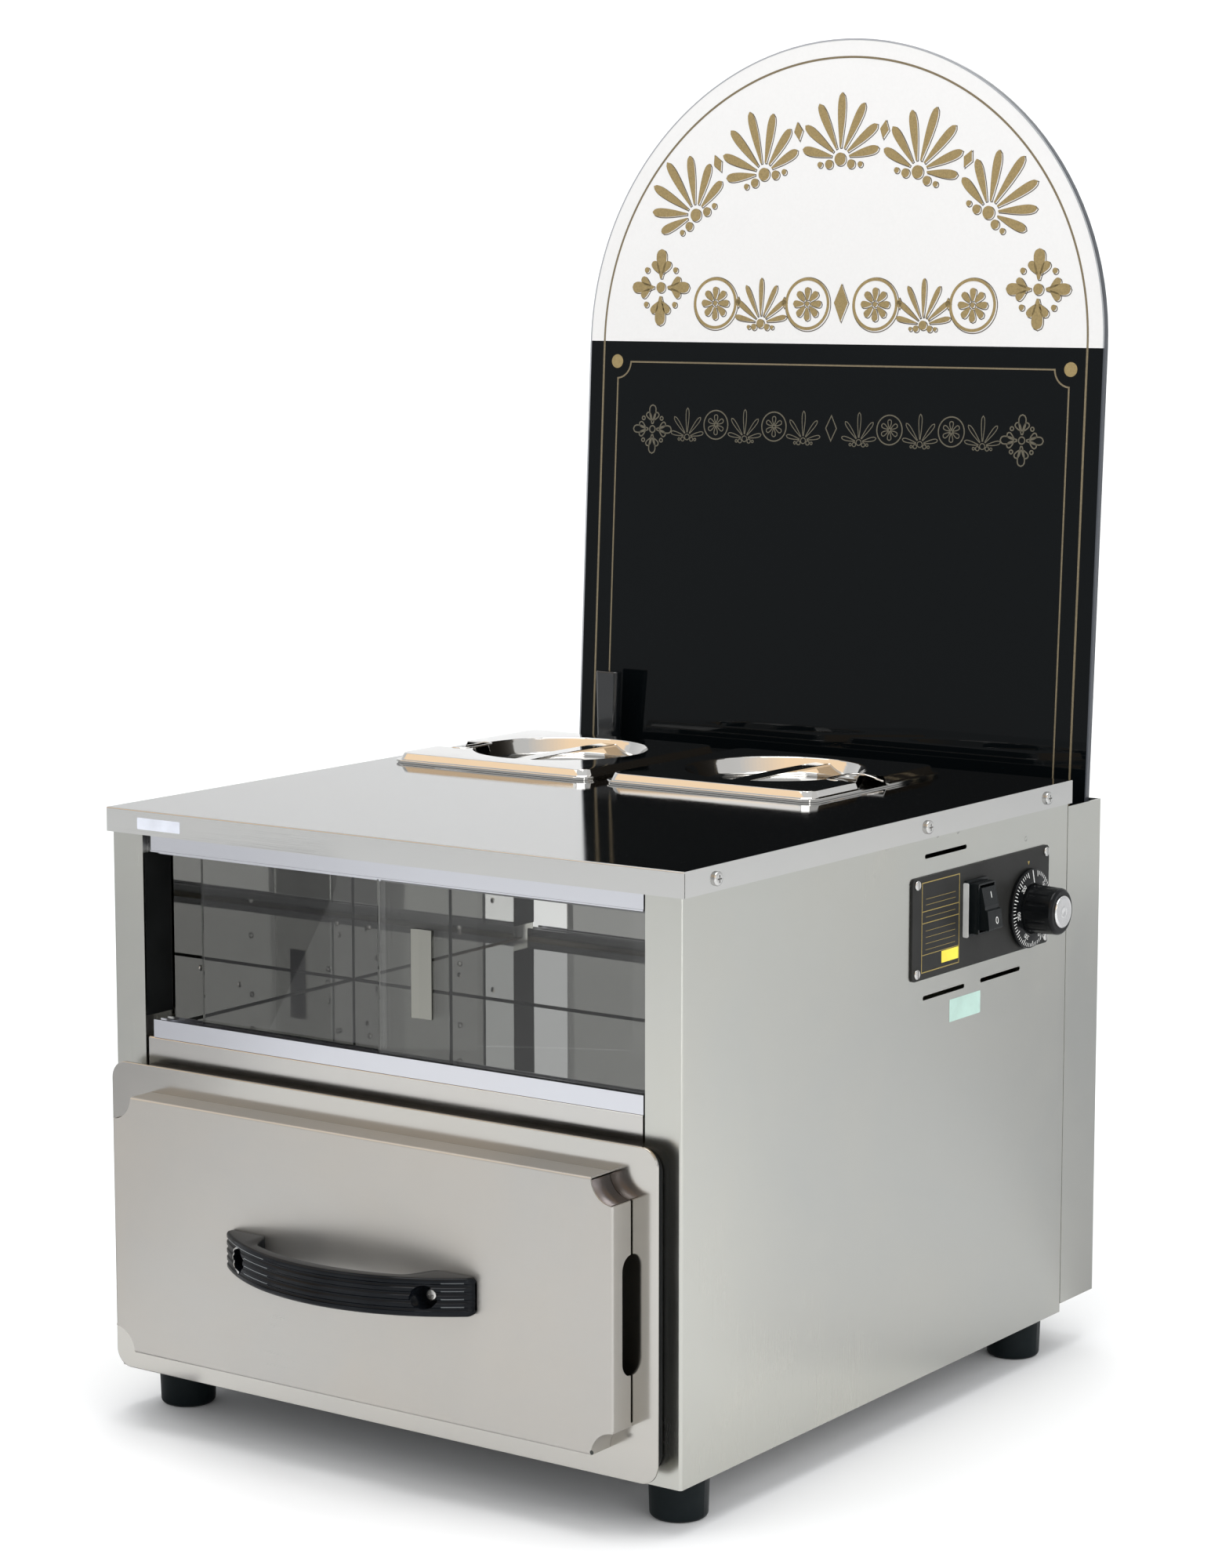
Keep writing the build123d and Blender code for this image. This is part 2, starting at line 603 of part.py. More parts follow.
runner_profile = [
    (205.0, rail_z - 9.0), (188.0, rail_z - 9.0), (188.0, rail_z - 7.5), (203.5, rail_z - 7.5),
    (203.5, rail_z + 7.5), (188.0, rail_z + 7.5), (188.0, rail_z + 9.0), (205.0, rail_z + 9.0),
]
with BuildPart() as chamber_runners:
    for side in (-1, 1):
        with BuildSketch(FRONT.offset(-470)) as channel:
            with BuildLine():
                Polyline([(side * x, z) for x, z in runner_profile], close=True)
            make_face()
        extrude(channel.sketch, amount=462)
        x0, x1 = sorted((side * 201.5, side * 205.0))
        slab(x0, x1, 462.0, 470.0, rail_z - 8.0, rail_z + 8.0)
chamber_runners.part.label = "chamber_runners"
export_step(chamber_runners.part, "parts/chamber_runners.step")

# Bow handle: ribbed front on a long arc, two feet on the skin.
hz0 = handle_z - handle_h / 2
hz1 = handle_z + handle_h / 2
with BuildPart() as drawer_handle:
    with BuildSketch(FLOOR.offset(hz0)):
        with BuildLine():
            ThreePointArc((-handle_half, -40.0), (0, handle_apex), (handle_half, -40.0))
            Line((handle_half, -40.0), (handle_half, -34.6))
            Line((handle_half, -34.6), (70.0, -34.6))
            Line((70.0, -34.6), (61.0, -47.5))
            ThreePointArc((61.0, -47.5), (0, -68.3), (-61.0, -47.5))
            Line((-61.0, -47.5), (-70.0, -34.6))
            Line((-70.0, -34.6), (-handle_half, -34.6))
            Line((-handle_half, -34.6), (-handle_half, -40.0))
        make_face()
    extrude(amount=handle_h)
    fillet(drawer_handle.edges().filter_by(Axis.Y), radius=4.0)
    arcs = drawer_handle.edges().filter_by(GeomType.CIRCLE).filter_by(lambda e: e.length > 150)
    fillet(arcs, radius=2.2)
    # four grooves along the front
    for k in range(4):
        gz = handle_z - 8.1 + 5.4 * k
        with BuildSketch(FLOOR.offset(gz - 0.9)) as groove:
            with BuildLine():
                ThreePointArc((-120.0, -32.6), (0, handle_apex - 2.5), (120.0, -32.6))
                Line((120.0, -32.6), (120.0, -30.4))
                ThreePointArc((120.0, -30.4), (0, handle_apex + 1.3), (-120.0, -30.4))
                Line((-120.0, -30.4), (-120.0, -32.6))
            make_face()
        extrude(groove.sketch, amount=1.8, mode=Mode.SUBTRACT)
    for sx in (-handle_screw_x, handle_screw_x):
        rod_y(sx, handle_z, -95, handle_recess_y, 8.2, mode=Mode.SUBTRACT)
        rod_y(sx, handle_z, -60, -30, 2.7, mode=Mode.SUBTRACT)
drawer_handle.part.label = "drawer_handle"
export_step(drawer_handle.part, "parts/drawer_handle.step")

with BuildPart() as handle_screws:
    for sx in (-handle_screw_x, handle_screw_x):
        rod_y(sx, handle_z, handle_recess_y - 3.2, handle_recess_y, 4.8)
    fillet(handle_screws.edges().filter_by(GeomType.CIRCLE).group_by(Axis.Y)[0], radius=1.8)
    for sx in (-handle_screw_x, handle_screw_x):
        rod_y(sx, handle_z, handle_recess_y, -27.0, 2.5)
        # cross recess in the head
        slab_front(sx - 2.4, sx + 2.4, handle_recess_y - 4, handle_recess_y - 1.6, handle_z - 0.45, handle_z + 0.45,
                   mode=Mode.SUBTRACT)
        slab_front(sx - 0.45, sx + 0.45, handle_recess_y - 4, handle_recess_y - 1.6, handle_z - 2.4, handle_z + 2.4,
                   mode=Mode.SUBTRACT)
handle_screws.part.label = "handle_screws"
export_step(handle_screws.part, "parts/handle_screws.step")

with BuildPart() as handle_nuts:
    for sx in (-handle_screw_x, handle_screw_x):
        hex_y(sx, handle_z, -33.2, -29.2, 4.6)
        rod_y(sx, handle_z, -34, -28, 2.55, mode=Mode.SUBTRACT)
handle_nuts.part.label = "handle_nuts"
export_step(handle_nuts.part, "parts/handle_nuts.step")

# --------------------------------------------------------------- controls --
with BuildPart() as control_plate:
    slab_side(body_half, body_half + 1.5, ctl_y0, ctl_y1, ctl_z0, ctl_z1, r=4.0)
    slab_side(240, 255, switch_y0 - 0.3, switch_y1 + 0.3, switch_z0 - 0.3, switch_z1 + 0.3, mode=Mode.SUBTRACT)
    rod_x(dial_y, dial_z, 240, 255, 6.0, mode=Mode.SUBTRACT)
    for sy in (295.3, 483.2):
        for sz in (331.5, 395.4):
            rod_x(sy, sz, 240, 255, 1.8, mode=Mode.SUBTRACT)
control_plate.part.label = "control_plate"
export_step(control_plate.part, "parts/control_plate.step")

with BuildPart() as control_plate_screws:
    for sy in (295.3, 483.2):
        for sz in (331.5, 395.4):
            rod_x(sy, sz, 249.0, 250.8, 3.6)
    fillet(control_plate_screws.edges().filter_by(GeomType.CIRCLE).group_by(Axis.X)[-1], radius=1.2)
    for sy in (295.3, 483.2):
        for sz in (331.5, 395.4):
            rod_x(sy, sz, 240.0, 249.0, 1.7)
            slab_side(250.0, 252, sy - 0.35, sy + 0.35, sz - 3.0, sz + 3.0, mode=Mode.SUBTRACT)
control_plate_screws.part.label = "control_plate_screws"
export_step(control_plate_screws.part, "parts/control_plate_screws.step")

with BuildPart() as switch_bezel:
    slab_side(249.0, 251.4, switch_y0 - 4.8, switch_y1 + 2.0, switch_z0 - 2.2, switch_z1 + 2.2, r=2.0)
    slab_side(245, 255, switch_y0 - 0.2, switch_y1 + 0.2, switch_z0 - 0.2, switch_z1 + 0.2, mode=Mode.SUBTRACT)
switch_bezel.part.label = "switch_bezel"
export_step(switch_bezel.part, "parts/switch_bezel.step")

with BuildPart() as switch_housing:
    slab_side(249.0, 258.6, switch_y0, switch_y1, switch_z0, switch_z1, r=1.5)
    slab_side(214.0, 249.0, switch_y0 + 1.6, switch_y1 - 1.6, switch_z0 + 1.6, switch_z1 - 1.6, r=1.0)
    slab_side(250.0, 262, switch_y0 + 2.0, switch_y1 - 2.0, switch_z0 + 1.2, switch_z1 - 1.2, mode=Mode.SUBTRACT)
    # spade terminals at the back
    for ty in (372.0, 385.0):
        for tz in (358.0, 369.0, 380.0):
            slab_side(205.0, 214.0, ty - 0.4, ty + 0.4, tz - 3.0, tz + 3.0)
switch_housing.part.label = "switch_housing"
export_step(switch_housing.part, "parts/switch_housing.step")

rock_z = (switch_z0 + switch_z1) / 2
with BuildPart() as switch_rocker:
    with BuildSketch(FRONT.offset(-(switch_y1 - 2.6))):
        with BuildLine():
            Polyline([
                (254.6, rock_z + 15.6), (259.6, rock_z + 15.4), (262.6, rock_z + 2.0), (262.6, rock_z - 0.6),
                (264.8, rock_z - 1.2), (266.4, rock_z - 15.2), (256.8, rock_z - 15.6), (253.2, rock_z - 6.0),
                (253.2, rock_z + 6.0),
            ], close=True)
        make_face()
    extrude(amount=switch_y1 - switch_y0 - 5.2)
    fillet(switch_rocker.edges().filter_by(Axis.Y).group_by(Axis.X)[-1], radius=1.0)
    rod_y(256.0, rock_z, 360, 400, 1.5, mode=Mode.SUBTRACT)
switch_rocker.part.label = "switch_rocker"
export_step(switch_rocker.part, "parts/switch_rocker.step")

with BuildPart() as rocker_pin:
    rod_y(256.0, rock_z, switch_y0 + 2.0, switch_y1 - 2.0, 1.45)
rocker_pin.part.label = "rocker_pin"
export_step(rocker_pin.part, "parts/rocker_pin.step")

with BuildPart() as thermostat_body:
    slab_side(212.0, 240.0, dial_y - 22, dial_y + 20, dial_z - 16, dial_z + 16, r=2)
    rod_x(dial_y, dial_z, 240.0, 247.0, 5.5)
    rod_x(dial_y, dial_z, 236.0, 249.0, 3.25, mode=Mode.SUBTRACT)
thermostat_body.part.label = "thermostat_body"
export_step(thermostat_body.part, "parts/thermostat_body.step")

with BuildPart() as thermostat_shaft:
    rod_x(dial_y, dial_z, 236.4, 268.0, 3.2)
    slab_side(254.0, 269.0, dial_y - 4, dial_y + 4, dial_z + 2.0, dial_z + 4, mode=Mode.SUBTRACT)
thermostat_shaft.part.label = "thermostat_shaft"
export_step(thermostat_shaft.part, "parts/thermostat_shaft.step")

with BuildPart() as thermostat_dial:
    rod_x(dial_y, dial_z, 250.0, 252.6, dial_r)
    fillet(thermostat_dial.edges().filter_by(GeomType.CIRCLE).group_by(Axis.X)[-1], radius=1.0)
    with BuildSketch(SIDE.offset(252.6)) as grip:
        with Locations((dial_y, dial_z)):
            Circle(18.2)
    extrude(grip.sketch, amount=25.0, taper=2.0)
    fillet(thermostat_dial.edges().filter_by(GeomType.CIRCLE).group_by(Axis.X)[-1], radius=2.5)
    # finger flutes round the grip
    with BuildSketch(SIDE.offset(256.0)) as flutes:
        with Locations((dial_y, dial_z)):
            with PolarLocations(19.8, 16):
                Circle(2.6)
    extrude(flutes.sketch, amount=16.0, mode=Mode.SUBTRACT)
    rod_x(dial_y, dial_z, 249.0, 268.0, 3.2, mode=Mode.SUBTRACT)
    rod_x(dial_y, dial_z, 276.6, 280.0, 12.2, mode=Mode.SUBTRACT)
thermostat_dial.part.label = "thermostat_dial"
export_step(thermostat_dial.part, "parts/thermostat_dial.step")

with BuildPart() as dial_cap:
    rod_x(dial_y, dial_z, 276.6, 279.5, 12.1)
    fillet(dial_cap.edges().filter_by(GeomType.CIRCLE).group_by(Axis.X)[-1], radius=1.4)
dial_cap.part.label = "dial_cap"
export_step(dial_cap.part, "parts/dial_cap.step")

with BuildPart() as thermostat_bulb:
    rod_y(196.0, 228.0, 290.0, 400.0, 3.2)
thermostat_bulb.part.label = "thermostat_bulb"
export_step(thermostat_bulb.part, "parts/thermostat_bulb.step")

with BuildPart() as capillary_tube:
    with BuildLine() as cap_path:
        FilletPolyline(
            (CX + 196, FY + 400, 228), (CX + 196, FY + 412, 228), (CX + 196, FY + 412, 290),
            (CX + 224, FY + 440, 290), (CX + 224, FY + 440, 339.9),
            radius=6,
        )
    with BuildSketch(Plane(origin=cap_path.line @ 0, z_dir=cap_path.line % 0)):
        Circle(1.0)
    sweep(path=cap_path.line)
capillary_tube.part.label = "capillary_tube"
export_step(capillary_tube.part, "parts/capillary_tube.step")

with BuildPart() as bulb_clips:
    for by in (305.0, 385.0):
        slab(190.5, 205.0, by - 5, by + 5, 233.0, 234.2)
        slab(203.8, 205.0, by - 5, by + 5, 222.0, 234.2)
        slab(203.8, 205.0, by - 5, by + 5, 222.0, 223.2)
        slab(191.0, 205.0, by - 5, by + 5, 222.0, 223.2)
bulb_clips.part.label = "bulb_clips"
export_step(bulb_clips.part, "parts/bulb_clips.step")

with BuildPart() as safety_cutout:
    rod_z(150.0, 505.0, blanket_top, blanket_top + 11, 8.0)
    slab(138.0, 162.0, 500.0, 510.0, blanket_top, blanket_top + 1.2)
    slab(144.0, 146.0, 502.0, 508.0, blanket_top + 11, blanket_top + 19)
    slab(154.0, 156.0, 502.0, 508.0, blanket_top + 11, blanket_top + 19)
safety_cutout.part.label = "safety_cutout"
export_step(safety_cutout.part, "parts/safety_cutout.step")

with BuildPart() as terminal_block:
    slab(175.0, 235.0, 300.0, 318.0, blanket_top, blanket_top + 17)
    for k in range(4):
        rod_z(183.0 + 14.6 * k, 309.0, blanket_top + 11, blanket_top + 21, 2.6, mode=Mode.SUBTRACT)
        slab(179.0 + 14.6 * k, 187.0 + 14.6 * k, 295.0, 302.0, blanket_top + 3, blanket_top + 10, mode=Mode.SUBTRACT)
        slab(179.0 + 14.6 * k, 187.0 + 14.6 * k, 316.0, 323.0, blanket_top + 3, blanket_top + 10, mode=Mode.SUBTRACT)
terminal_block.part.label = "terminal_block"
export_step(terminal_block.part, "parts/terminal_block.step")

with BuildPart() as cable_gland:
    rod_y(gland_x, gland_z, 562.0, 572.0, 8.0)
    hex_y(gland_x, gland_z, cover_rear, 577.0, 13.0)
    rod_y(gland_x, gland_z, 577.0, 590.0, 10.0)
    fillet(cable_gland.edges().filter_by(GeomType.CIRCLE).group_by(Axis.Y)[-1], radius=3.0)
    hex_y(gland_x, gland_z, 564.5, cover_rear - sheet, 12.5)
    rod_y(gland_x, gland_z, 555, 595, 4.0, mode=Mode.SUBTRACT)
cable_gland.part.label = "cable_gland"
export_step(cable_gland.part, "parts/cable_gland.step")

# ------------------------------------------------------------------- feet --
with BuildPart() as feet:
    for fx, fy in foot_spots:
        with BuildSketch(FLOOR.offset(body_bottom - 0.1)) as foot:
            with Locations((fx, fy)):
                Circle(foot_r)
        extrude(foot.sketch, amount=-(body_bottom - 0.1), taper=2)
    fillet(feet.edges().filter_by(GeomType.CIRCLE).group_by(Axis.Z)[0], radius=3.5)
    for fx, fy in foot_spots:
        rod_z(fx, fy, -1, 40, 3.3, mode=Mode.SUBTRACT)
        rod_z(fx, fy, -1, 12, 8.0, mode=Mode.SUBTRACT)
feet.part.label = "feet"
export_step(feet.part, "parts/feet.step")

with BuildPart() as foot_screws:
    for fx, fy in foot_spots:
        rod_z(fx, fy, 7.5, 12.0, 6.0)
        rod_z(fx, fy, 12.0, 41.0, 3.0)
foot_screws.part.label = "foot_screws"
export_step(foot_screws.part, "parts/foot_screws.step")

with BuildPart() as foot_nuts:
    for fx, fy in foot_spots:
        hex_z(fx, fy, body_bottom + sheet + 0.1, body_bottom + sheet + 5.1, 5.7)
        rod_z(fx, fy, 30, 45, 3.05, mode=Mode.SUBTRACT)
foot_nuts.part.label = "foot_nuts"
export_step(foot_nuts.part, "parts/foot_nuts.step")

# ------------------------------------------------------------ arched board --
with BuildPart() as sign_board:
    with BuildSketch(SIGN):
        with BuildLine():
            Line((-sign_half, 0), (sign_half, 0))
            Line((sign_half, 0), (sign_half, sign_square))
            ThreePointArc((sign_half, sign_square), (0, sign_square + sign_half), (-sign_half, sign_square))
            Line((-sign_half, sign_square), (-sign_half, 0))
        make_face()
    extrude(amount=-sign_t)
    chamfer(sign_board.edges().filter_by(GeomType.CIRCLE), length=0.6)
sign_board.part.label = "sign_board"
export_step(sign_board.part, "parts/sign_board.step")

with BuildPart() as sign_brackets:
    for bx in (-130.0, 130.0):
        with BuildSketch(SIGN_SIDE.offset(bx - 20)) as hook:
            with BuildLine():
                Polyline([
                    (-2.0, 28.0), (-2.0, -1.9), (8.0, -1.9), (8.0, 60.0), (6.6, 60.0), (6.6, -0.5),
                    (-0.6, -0.5), (-0.6, 28.0),
                ], close=True)
            make_face()
        extrude(hook.sketch, amount=40)
        slab(bx - 20, bx + 20, 565.8, cover_rear - sheet, 329.5, 341.0)
sign_brackets.part.label = "sign_brackets"
export_step(sign_brackets.part, "parts/sign_brackets.step")

# --------------------------------------- serving knife in the rear channel --
knife_x = -197.0
knife_y = 548.0
with BuildPart() as knife_handle:
    with BuildSketch(FLOOR.offset(385.0)):
        with Locations((knife_x, knife_y)):
            RectangleRounded(17.0, 8.5, 3.0)
    with BuildSketch(FLOOR.offset(497.0)):
        with Locations((knife_x, knife_y)):
            RectangleRounded(21.5, 10.5, 3.5)
    loft()
    fillet(knife_handle.edges().group_by(Axis.Z)[-1], radius=1.2)
knife_handle.part.label = "knife_handle"
export_step(knife_handle.part, "parts/knife_handle.step")

with BuildPart() as knife_blade:
    with BuildSketch(FRONT.offset(-(knife_y + 0.9))):
        with BuildLine():
            Polyline([
                (knife_x - 7.5, 385.0), (knife_x - 7.5, 283.0), (knife_x - 3.0, 275.0),
                (knife_x + 7.0, 275.0), (knife_x + 7.0, 385.0),
            ], close=True)
        make_face()
    extrude(amount=1.8)
knife_blade.part.label = "knife_blade"
export_step(knife_blade.part, "parts/knife_blade.step")

with BuildPart() as knife_holder:
    slab(knife_x - 11.2, knife_x + 11.2, knife_y - 4.2, knife_y + 4.2, 268.0, 380.0)
    slab(knife_x - 10.0, knife_x + 10.0, knife_y - 3.0, knife_y + 3.0, 269.2, 385.0, mode=Mode.SUBTRACT)
    slab(knife_x - 11.2, knife_x - 10.0, 519.3, knife_y - 4.2, 290.0, 360.0)
    slab(knife_x + 10.0, knife_x + 11.2, 519.3, knife_y - 4.2, 290.0, 360.0)
    slab(knife_x - 11.2, knife_x + 11.2, 519.3, 520.5, 290.0, 360.0)
knife_holder.part.label = "knife_holder"
export_step(knife_holder.part, "parts/knife_holder.step")
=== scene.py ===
import json
import math

import bmesh
import bpy
from mathutils import Matrix, Vector


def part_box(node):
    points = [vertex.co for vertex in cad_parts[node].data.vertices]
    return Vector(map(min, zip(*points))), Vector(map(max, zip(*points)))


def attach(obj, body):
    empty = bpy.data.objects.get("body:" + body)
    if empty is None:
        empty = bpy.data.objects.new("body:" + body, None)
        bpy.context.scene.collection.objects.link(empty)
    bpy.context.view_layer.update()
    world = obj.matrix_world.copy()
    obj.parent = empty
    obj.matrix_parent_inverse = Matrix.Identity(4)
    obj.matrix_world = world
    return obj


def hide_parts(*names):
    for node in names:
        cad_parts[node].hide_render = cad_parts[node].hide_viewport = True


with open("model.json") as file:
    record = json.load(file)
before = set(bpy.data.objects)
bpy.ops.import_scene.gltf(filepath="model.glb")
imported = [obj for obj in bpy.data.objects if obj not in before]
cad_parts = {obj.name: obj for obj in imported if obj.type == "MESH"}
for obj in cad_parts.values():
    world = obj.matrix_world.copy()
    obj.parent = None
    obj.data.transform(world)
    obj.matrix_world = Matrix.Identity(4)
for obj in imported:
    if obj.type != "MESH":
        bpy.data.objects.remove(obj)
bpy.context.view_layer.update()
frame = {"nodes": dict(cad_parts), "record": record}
NODES = frame["nodes"]
scene = bpy.context.scene

# Local millimetres (x from the casing middle, y from the front edge of the top,
# z from the floor) into the frame's metres.
CX, FY = -13.2, -259.867
LEAN = math.radians(3.0)
SIGN_Y0 = 563.3 - math.tan(LEAN) * (424.0 - 330.0)


def P(x, y, z):
    return Vector(((x + CX) / 1000.0, (y + FY) / 1000.0, z / 1000.0))


def S(u, v, d=0.0):
    """Point on the board: u across, v up along its lean, d out of its front face."""
    return P(u, SIGN_Y0 + v * math.sin(LEAN) - d * math.cos(LEAN), 330.0 + v * math.cos(LEAN) + d * math.sin(LEAN))


# ---------------------------------------------------------------- camera --
def make_camera():
    az, el, roll = math.radians(35.406), math.radians(8.037), math.radians(-0.045)
    back = Vector((math.sin(az) * math.cos(el), -math.cos(az) * math.cos(el), math.sin(el)))
    fwd = -back
    right = fwd.cross(Vector((0, 0, 1))).normalized()
    up = right.cross(fwd)
    r2 = right * math.cos(roll) + up * math.sin(roll)
    u2 = -right * math.sin(roll) + up * math.cos(roll)
    data = bpy.data.cameras.new("camera")
    data.sensor_fit = "AUTO"
    data.sensor_width = 36.0
    data.lens = 85.598
    data.clip_start = 0.05
    data.clip_end = 60.0
    cam = bpy.data.objects.new("camera", data)
    scene.collection.objects.link(cam)
    m = Matrix((r2, u2, -fwd)).transposed().to_4x4()
    m.translation = Vector((1.56114, -2.208967, 0.83495))
    cam.matrix_world = m
    scene.camera = cam


make_camera()


# ------------------------------------------------------------- materials --
class Mat:
    """A node material on one Principled shader, with small helpers."""

    def __init__(self, name, color=(0.5, 0.5, 0.5), metallic=0.0, rough=0.4, **kw):
        self.m = bpy.data.materials.new(name)
        self.m.use_nodes = True
        self.nt = self.m.node_tree
        self.b = self.nt.nodes["Principled BSDF"]
        self.set("Base Color", (*color, 1.0))
        self.set("Metallic", metallic)
        self.set("Roughness", rough)
        for k, v in kw.items():
            self.set(k.replace("_", " "), v)
        self.coord = None

    def set(self, socket, value):
        self.b.inputs[socket].default_value = value

    def node(self, kind, **kw):
        n = self.nt.nodes.new(kind)
        for k, v in kw.items():
            setattr(n, k, v)
        return n

    def link(self, a, b):
        self.nt.links.new(a, b)

    def pos(self, scale=(1, 1, 1), loc=(0, 0, 0), rot=(0, 0, 0)):
        if self.coord is None:
            self.coord = self.node("ShaderNodeTexCoord")
        mp = self.node("ShaderNodeMapping")
        mp.inputs["Scale"].default_value = scale
        mp.inputs["Location"].default_value = loc
        mp.inputs["Rotation"].default_value = rot
        self.link(self.coord.outputs["Object"], mp.inputs["Vector"])
        return mp.outputs["Vector"]

    def noise(self, vec, scale=1.0, detail=4.0, rough=0.55, distortion=0.0):
        n = self.node("ShaderNodeTexNoise")
        n.inputs["Scale"].default_value = scale
        n.inputs["Detail"].default_value = detail
        n.inputs["Roughness"].default_value = rough
        n.inputs["Distortion"].default_value = distortion
        self.link(vec, n.inputs["Vector"])
        return n.outputs["Fac"]

    def ramp(self, fac, stops):
        r = self.node("ShaderNodeValToRGB")
        el = r.color_ramp.elements
        el[0].position, el[0].color = stops[0][0], (*stops[0][1], 1)
        el[1].position, el[1].color = stops[-1][0], (*stops[-1][1], 1)
        for p, c in stops[1:-1]:
            e = el.new(p)
            e.color = (*c, 1)
        self.link(fac, r.inputs["Fac"])
        return r.outputs["Color"]

    def span(self, fac, lo, hi, a=0.0, b=1.0):
        r = self.node("ShaderNodeMapRange")
        r.inputs["From Min"].default_value = lo
        r.inputs["From Max"].default_value = hi
        r.inputs["To Min"].default_value = a
        r.inputs["To Max"].default_value = b
        self.link(fac, r.inputs["Value"])
        return r.outputs["Result"]

    def math(self, op, a, b=None, c=None):
        n = self.node("ShaderNodeMath", operation=op)
        for i, v in enumerate((a, b, c)):
            if v is None:
                continue
            if isinstance(v, (int, float)):
                n.inputs[i].default_value = v
            else:
                self.link(v, n.inputs[i])
        return n.outputs[0]

    def mix(self, fac, a, b, blend="MIX"):
        n = self.node("ShaderNodeMix", data_type="RGBA", blend_type=blend)
        if isinstance(fac, (int, float)):
            n.inputs["Factor"].default_value = fac
        else:
            self.link(fac, n.inputs["Factor"])
        for s, v in (("A", a), ("B", b)):
            sock = [i for i in n.inputs if i.name == s and i.type == "RGBA"][0]
            if isinstance(v, tuple):
                sock.default_value = (*v, 1)
            else:
                self.link(v, sock)
        return [o for o in n.outputs if o.type == "RGBA"][0]

    def bump(self, height, strength=0.1, distance=0.001, normal=None):
        n = self.node("ShaderNodeBump")
        n.inputs["Strength"].default_value = strength
        n.inputs["Distance"].default_value = distance
        self.link(height, n.inputs["Height"])
        if normal is not None:
            self.link(normal, n.inputs["Normal"])
        self.last_normal = n.outputs["Normal"]
        return n.outputs["Normal"]

    def to(self, out, socket):
        self.link(out, self.b.inputs[socket])


def sheet_metal(name, color, rough, grain="x", grain_amount=0.02, smudge=0.03, tint=0.03, fine=2600.0, wave=0.0, edge=0.8):
    """Rolled stainless sheet: fine directional grain, soft smudges, slight oil-canning and a trace of tint."""
    m = Mat(name, color, 1.0, rough)
    m.set("Specular Tint", (edge, edge, edge, 1.0))
    scale = {"x": (9.0, fine, fine), "y": (fine, 9.0, fine), "z": (fine, fine, 9.0)}[grain]
    fibre = m.noise(m.pos(scale), 1.0, 3.0, 0.6)
    cloud = m.noise(m.pos((1, 1, 1)), 6.0, 5.0, 0.6, 0.4)
    spots = m.noise(m.pos((1, 1, 1), (3.1, 0.7, 1.9)), 34.0, 4.0, 0.6)
    r = m.math("ADD", m.span(fibre, 0.3, 0.7, rough - grain_amount, rough + grain_amount),
               m.span(cloud, 0.35, 0.7, -smudge, smudge))
    r = m.math("ADD", r, m.span(spots, 0.45, 0.75, 0.0, smudge * 0.5))
    m.to(r, "Roughness")
    dark = tuple(c * (1 - tint) for c in color)
    warm = (min(1, color[0] * (1 + tint * 0.5)), color[1], color[2] * (1 - tint * 0.6))
    base = m.mix(m.span(cloud, 0.3, 0.7), dark, warm)
    base = m.mix(m.span(fibre, 0.25, 0.75, 0.0, 0.2), base, tuple(min(1.0, c * 1.04) for c in color))
    m.to(base, "Base Color")
    n = m.bump(fibre, 0.03, 0.0002)
    if wave:
        slow = m.noise(m.pos((1, 1, 1), (0.4, 2.2, 0.1)), 2.6, 1.0, 0.4)
        n = m.bump(slow, wave, 0.004, n)
    m.to(n, "Normal")
    return m.m


def moulded(name, color, rough, grain=0.0, spec=0.5, coat=0.0, scale=900.0):
    """Moulded plastic or rubber with a fine skin texture."""
    m = Mat(name, color, 0.0, rough)
    m.set("Specular IOR Level", spec)
    if coat:
        m.set("Coat Weight", coat)
        m.set("Coat Roughness", 0.06)
    skin = m.noise(m.pos((1, 1, 1)), scale, 3.0, 0.6)
    cloud = m.noise(m.pos((1, 1, 1), (1.3, 0.2, 0.9)), 26.0, 4.0, 0.6)
    m.to(m.math("ADD", m.span(skin, 0.3, 0.7, rough * 0.9, rough * 1.1), m.span(cloud, 0.35, 0.7, -0.03, 0.05)), "Roughness")
    m.to(m.mix(m.span(cloud, 0.3, 0.7), color, tuple(min(1, c * 1.35 + 0.004) for c in color)), "Base Color")
    if grain:
        m.to(m.bump(skin, grain, 0.0003), "Normal")
    return m.m


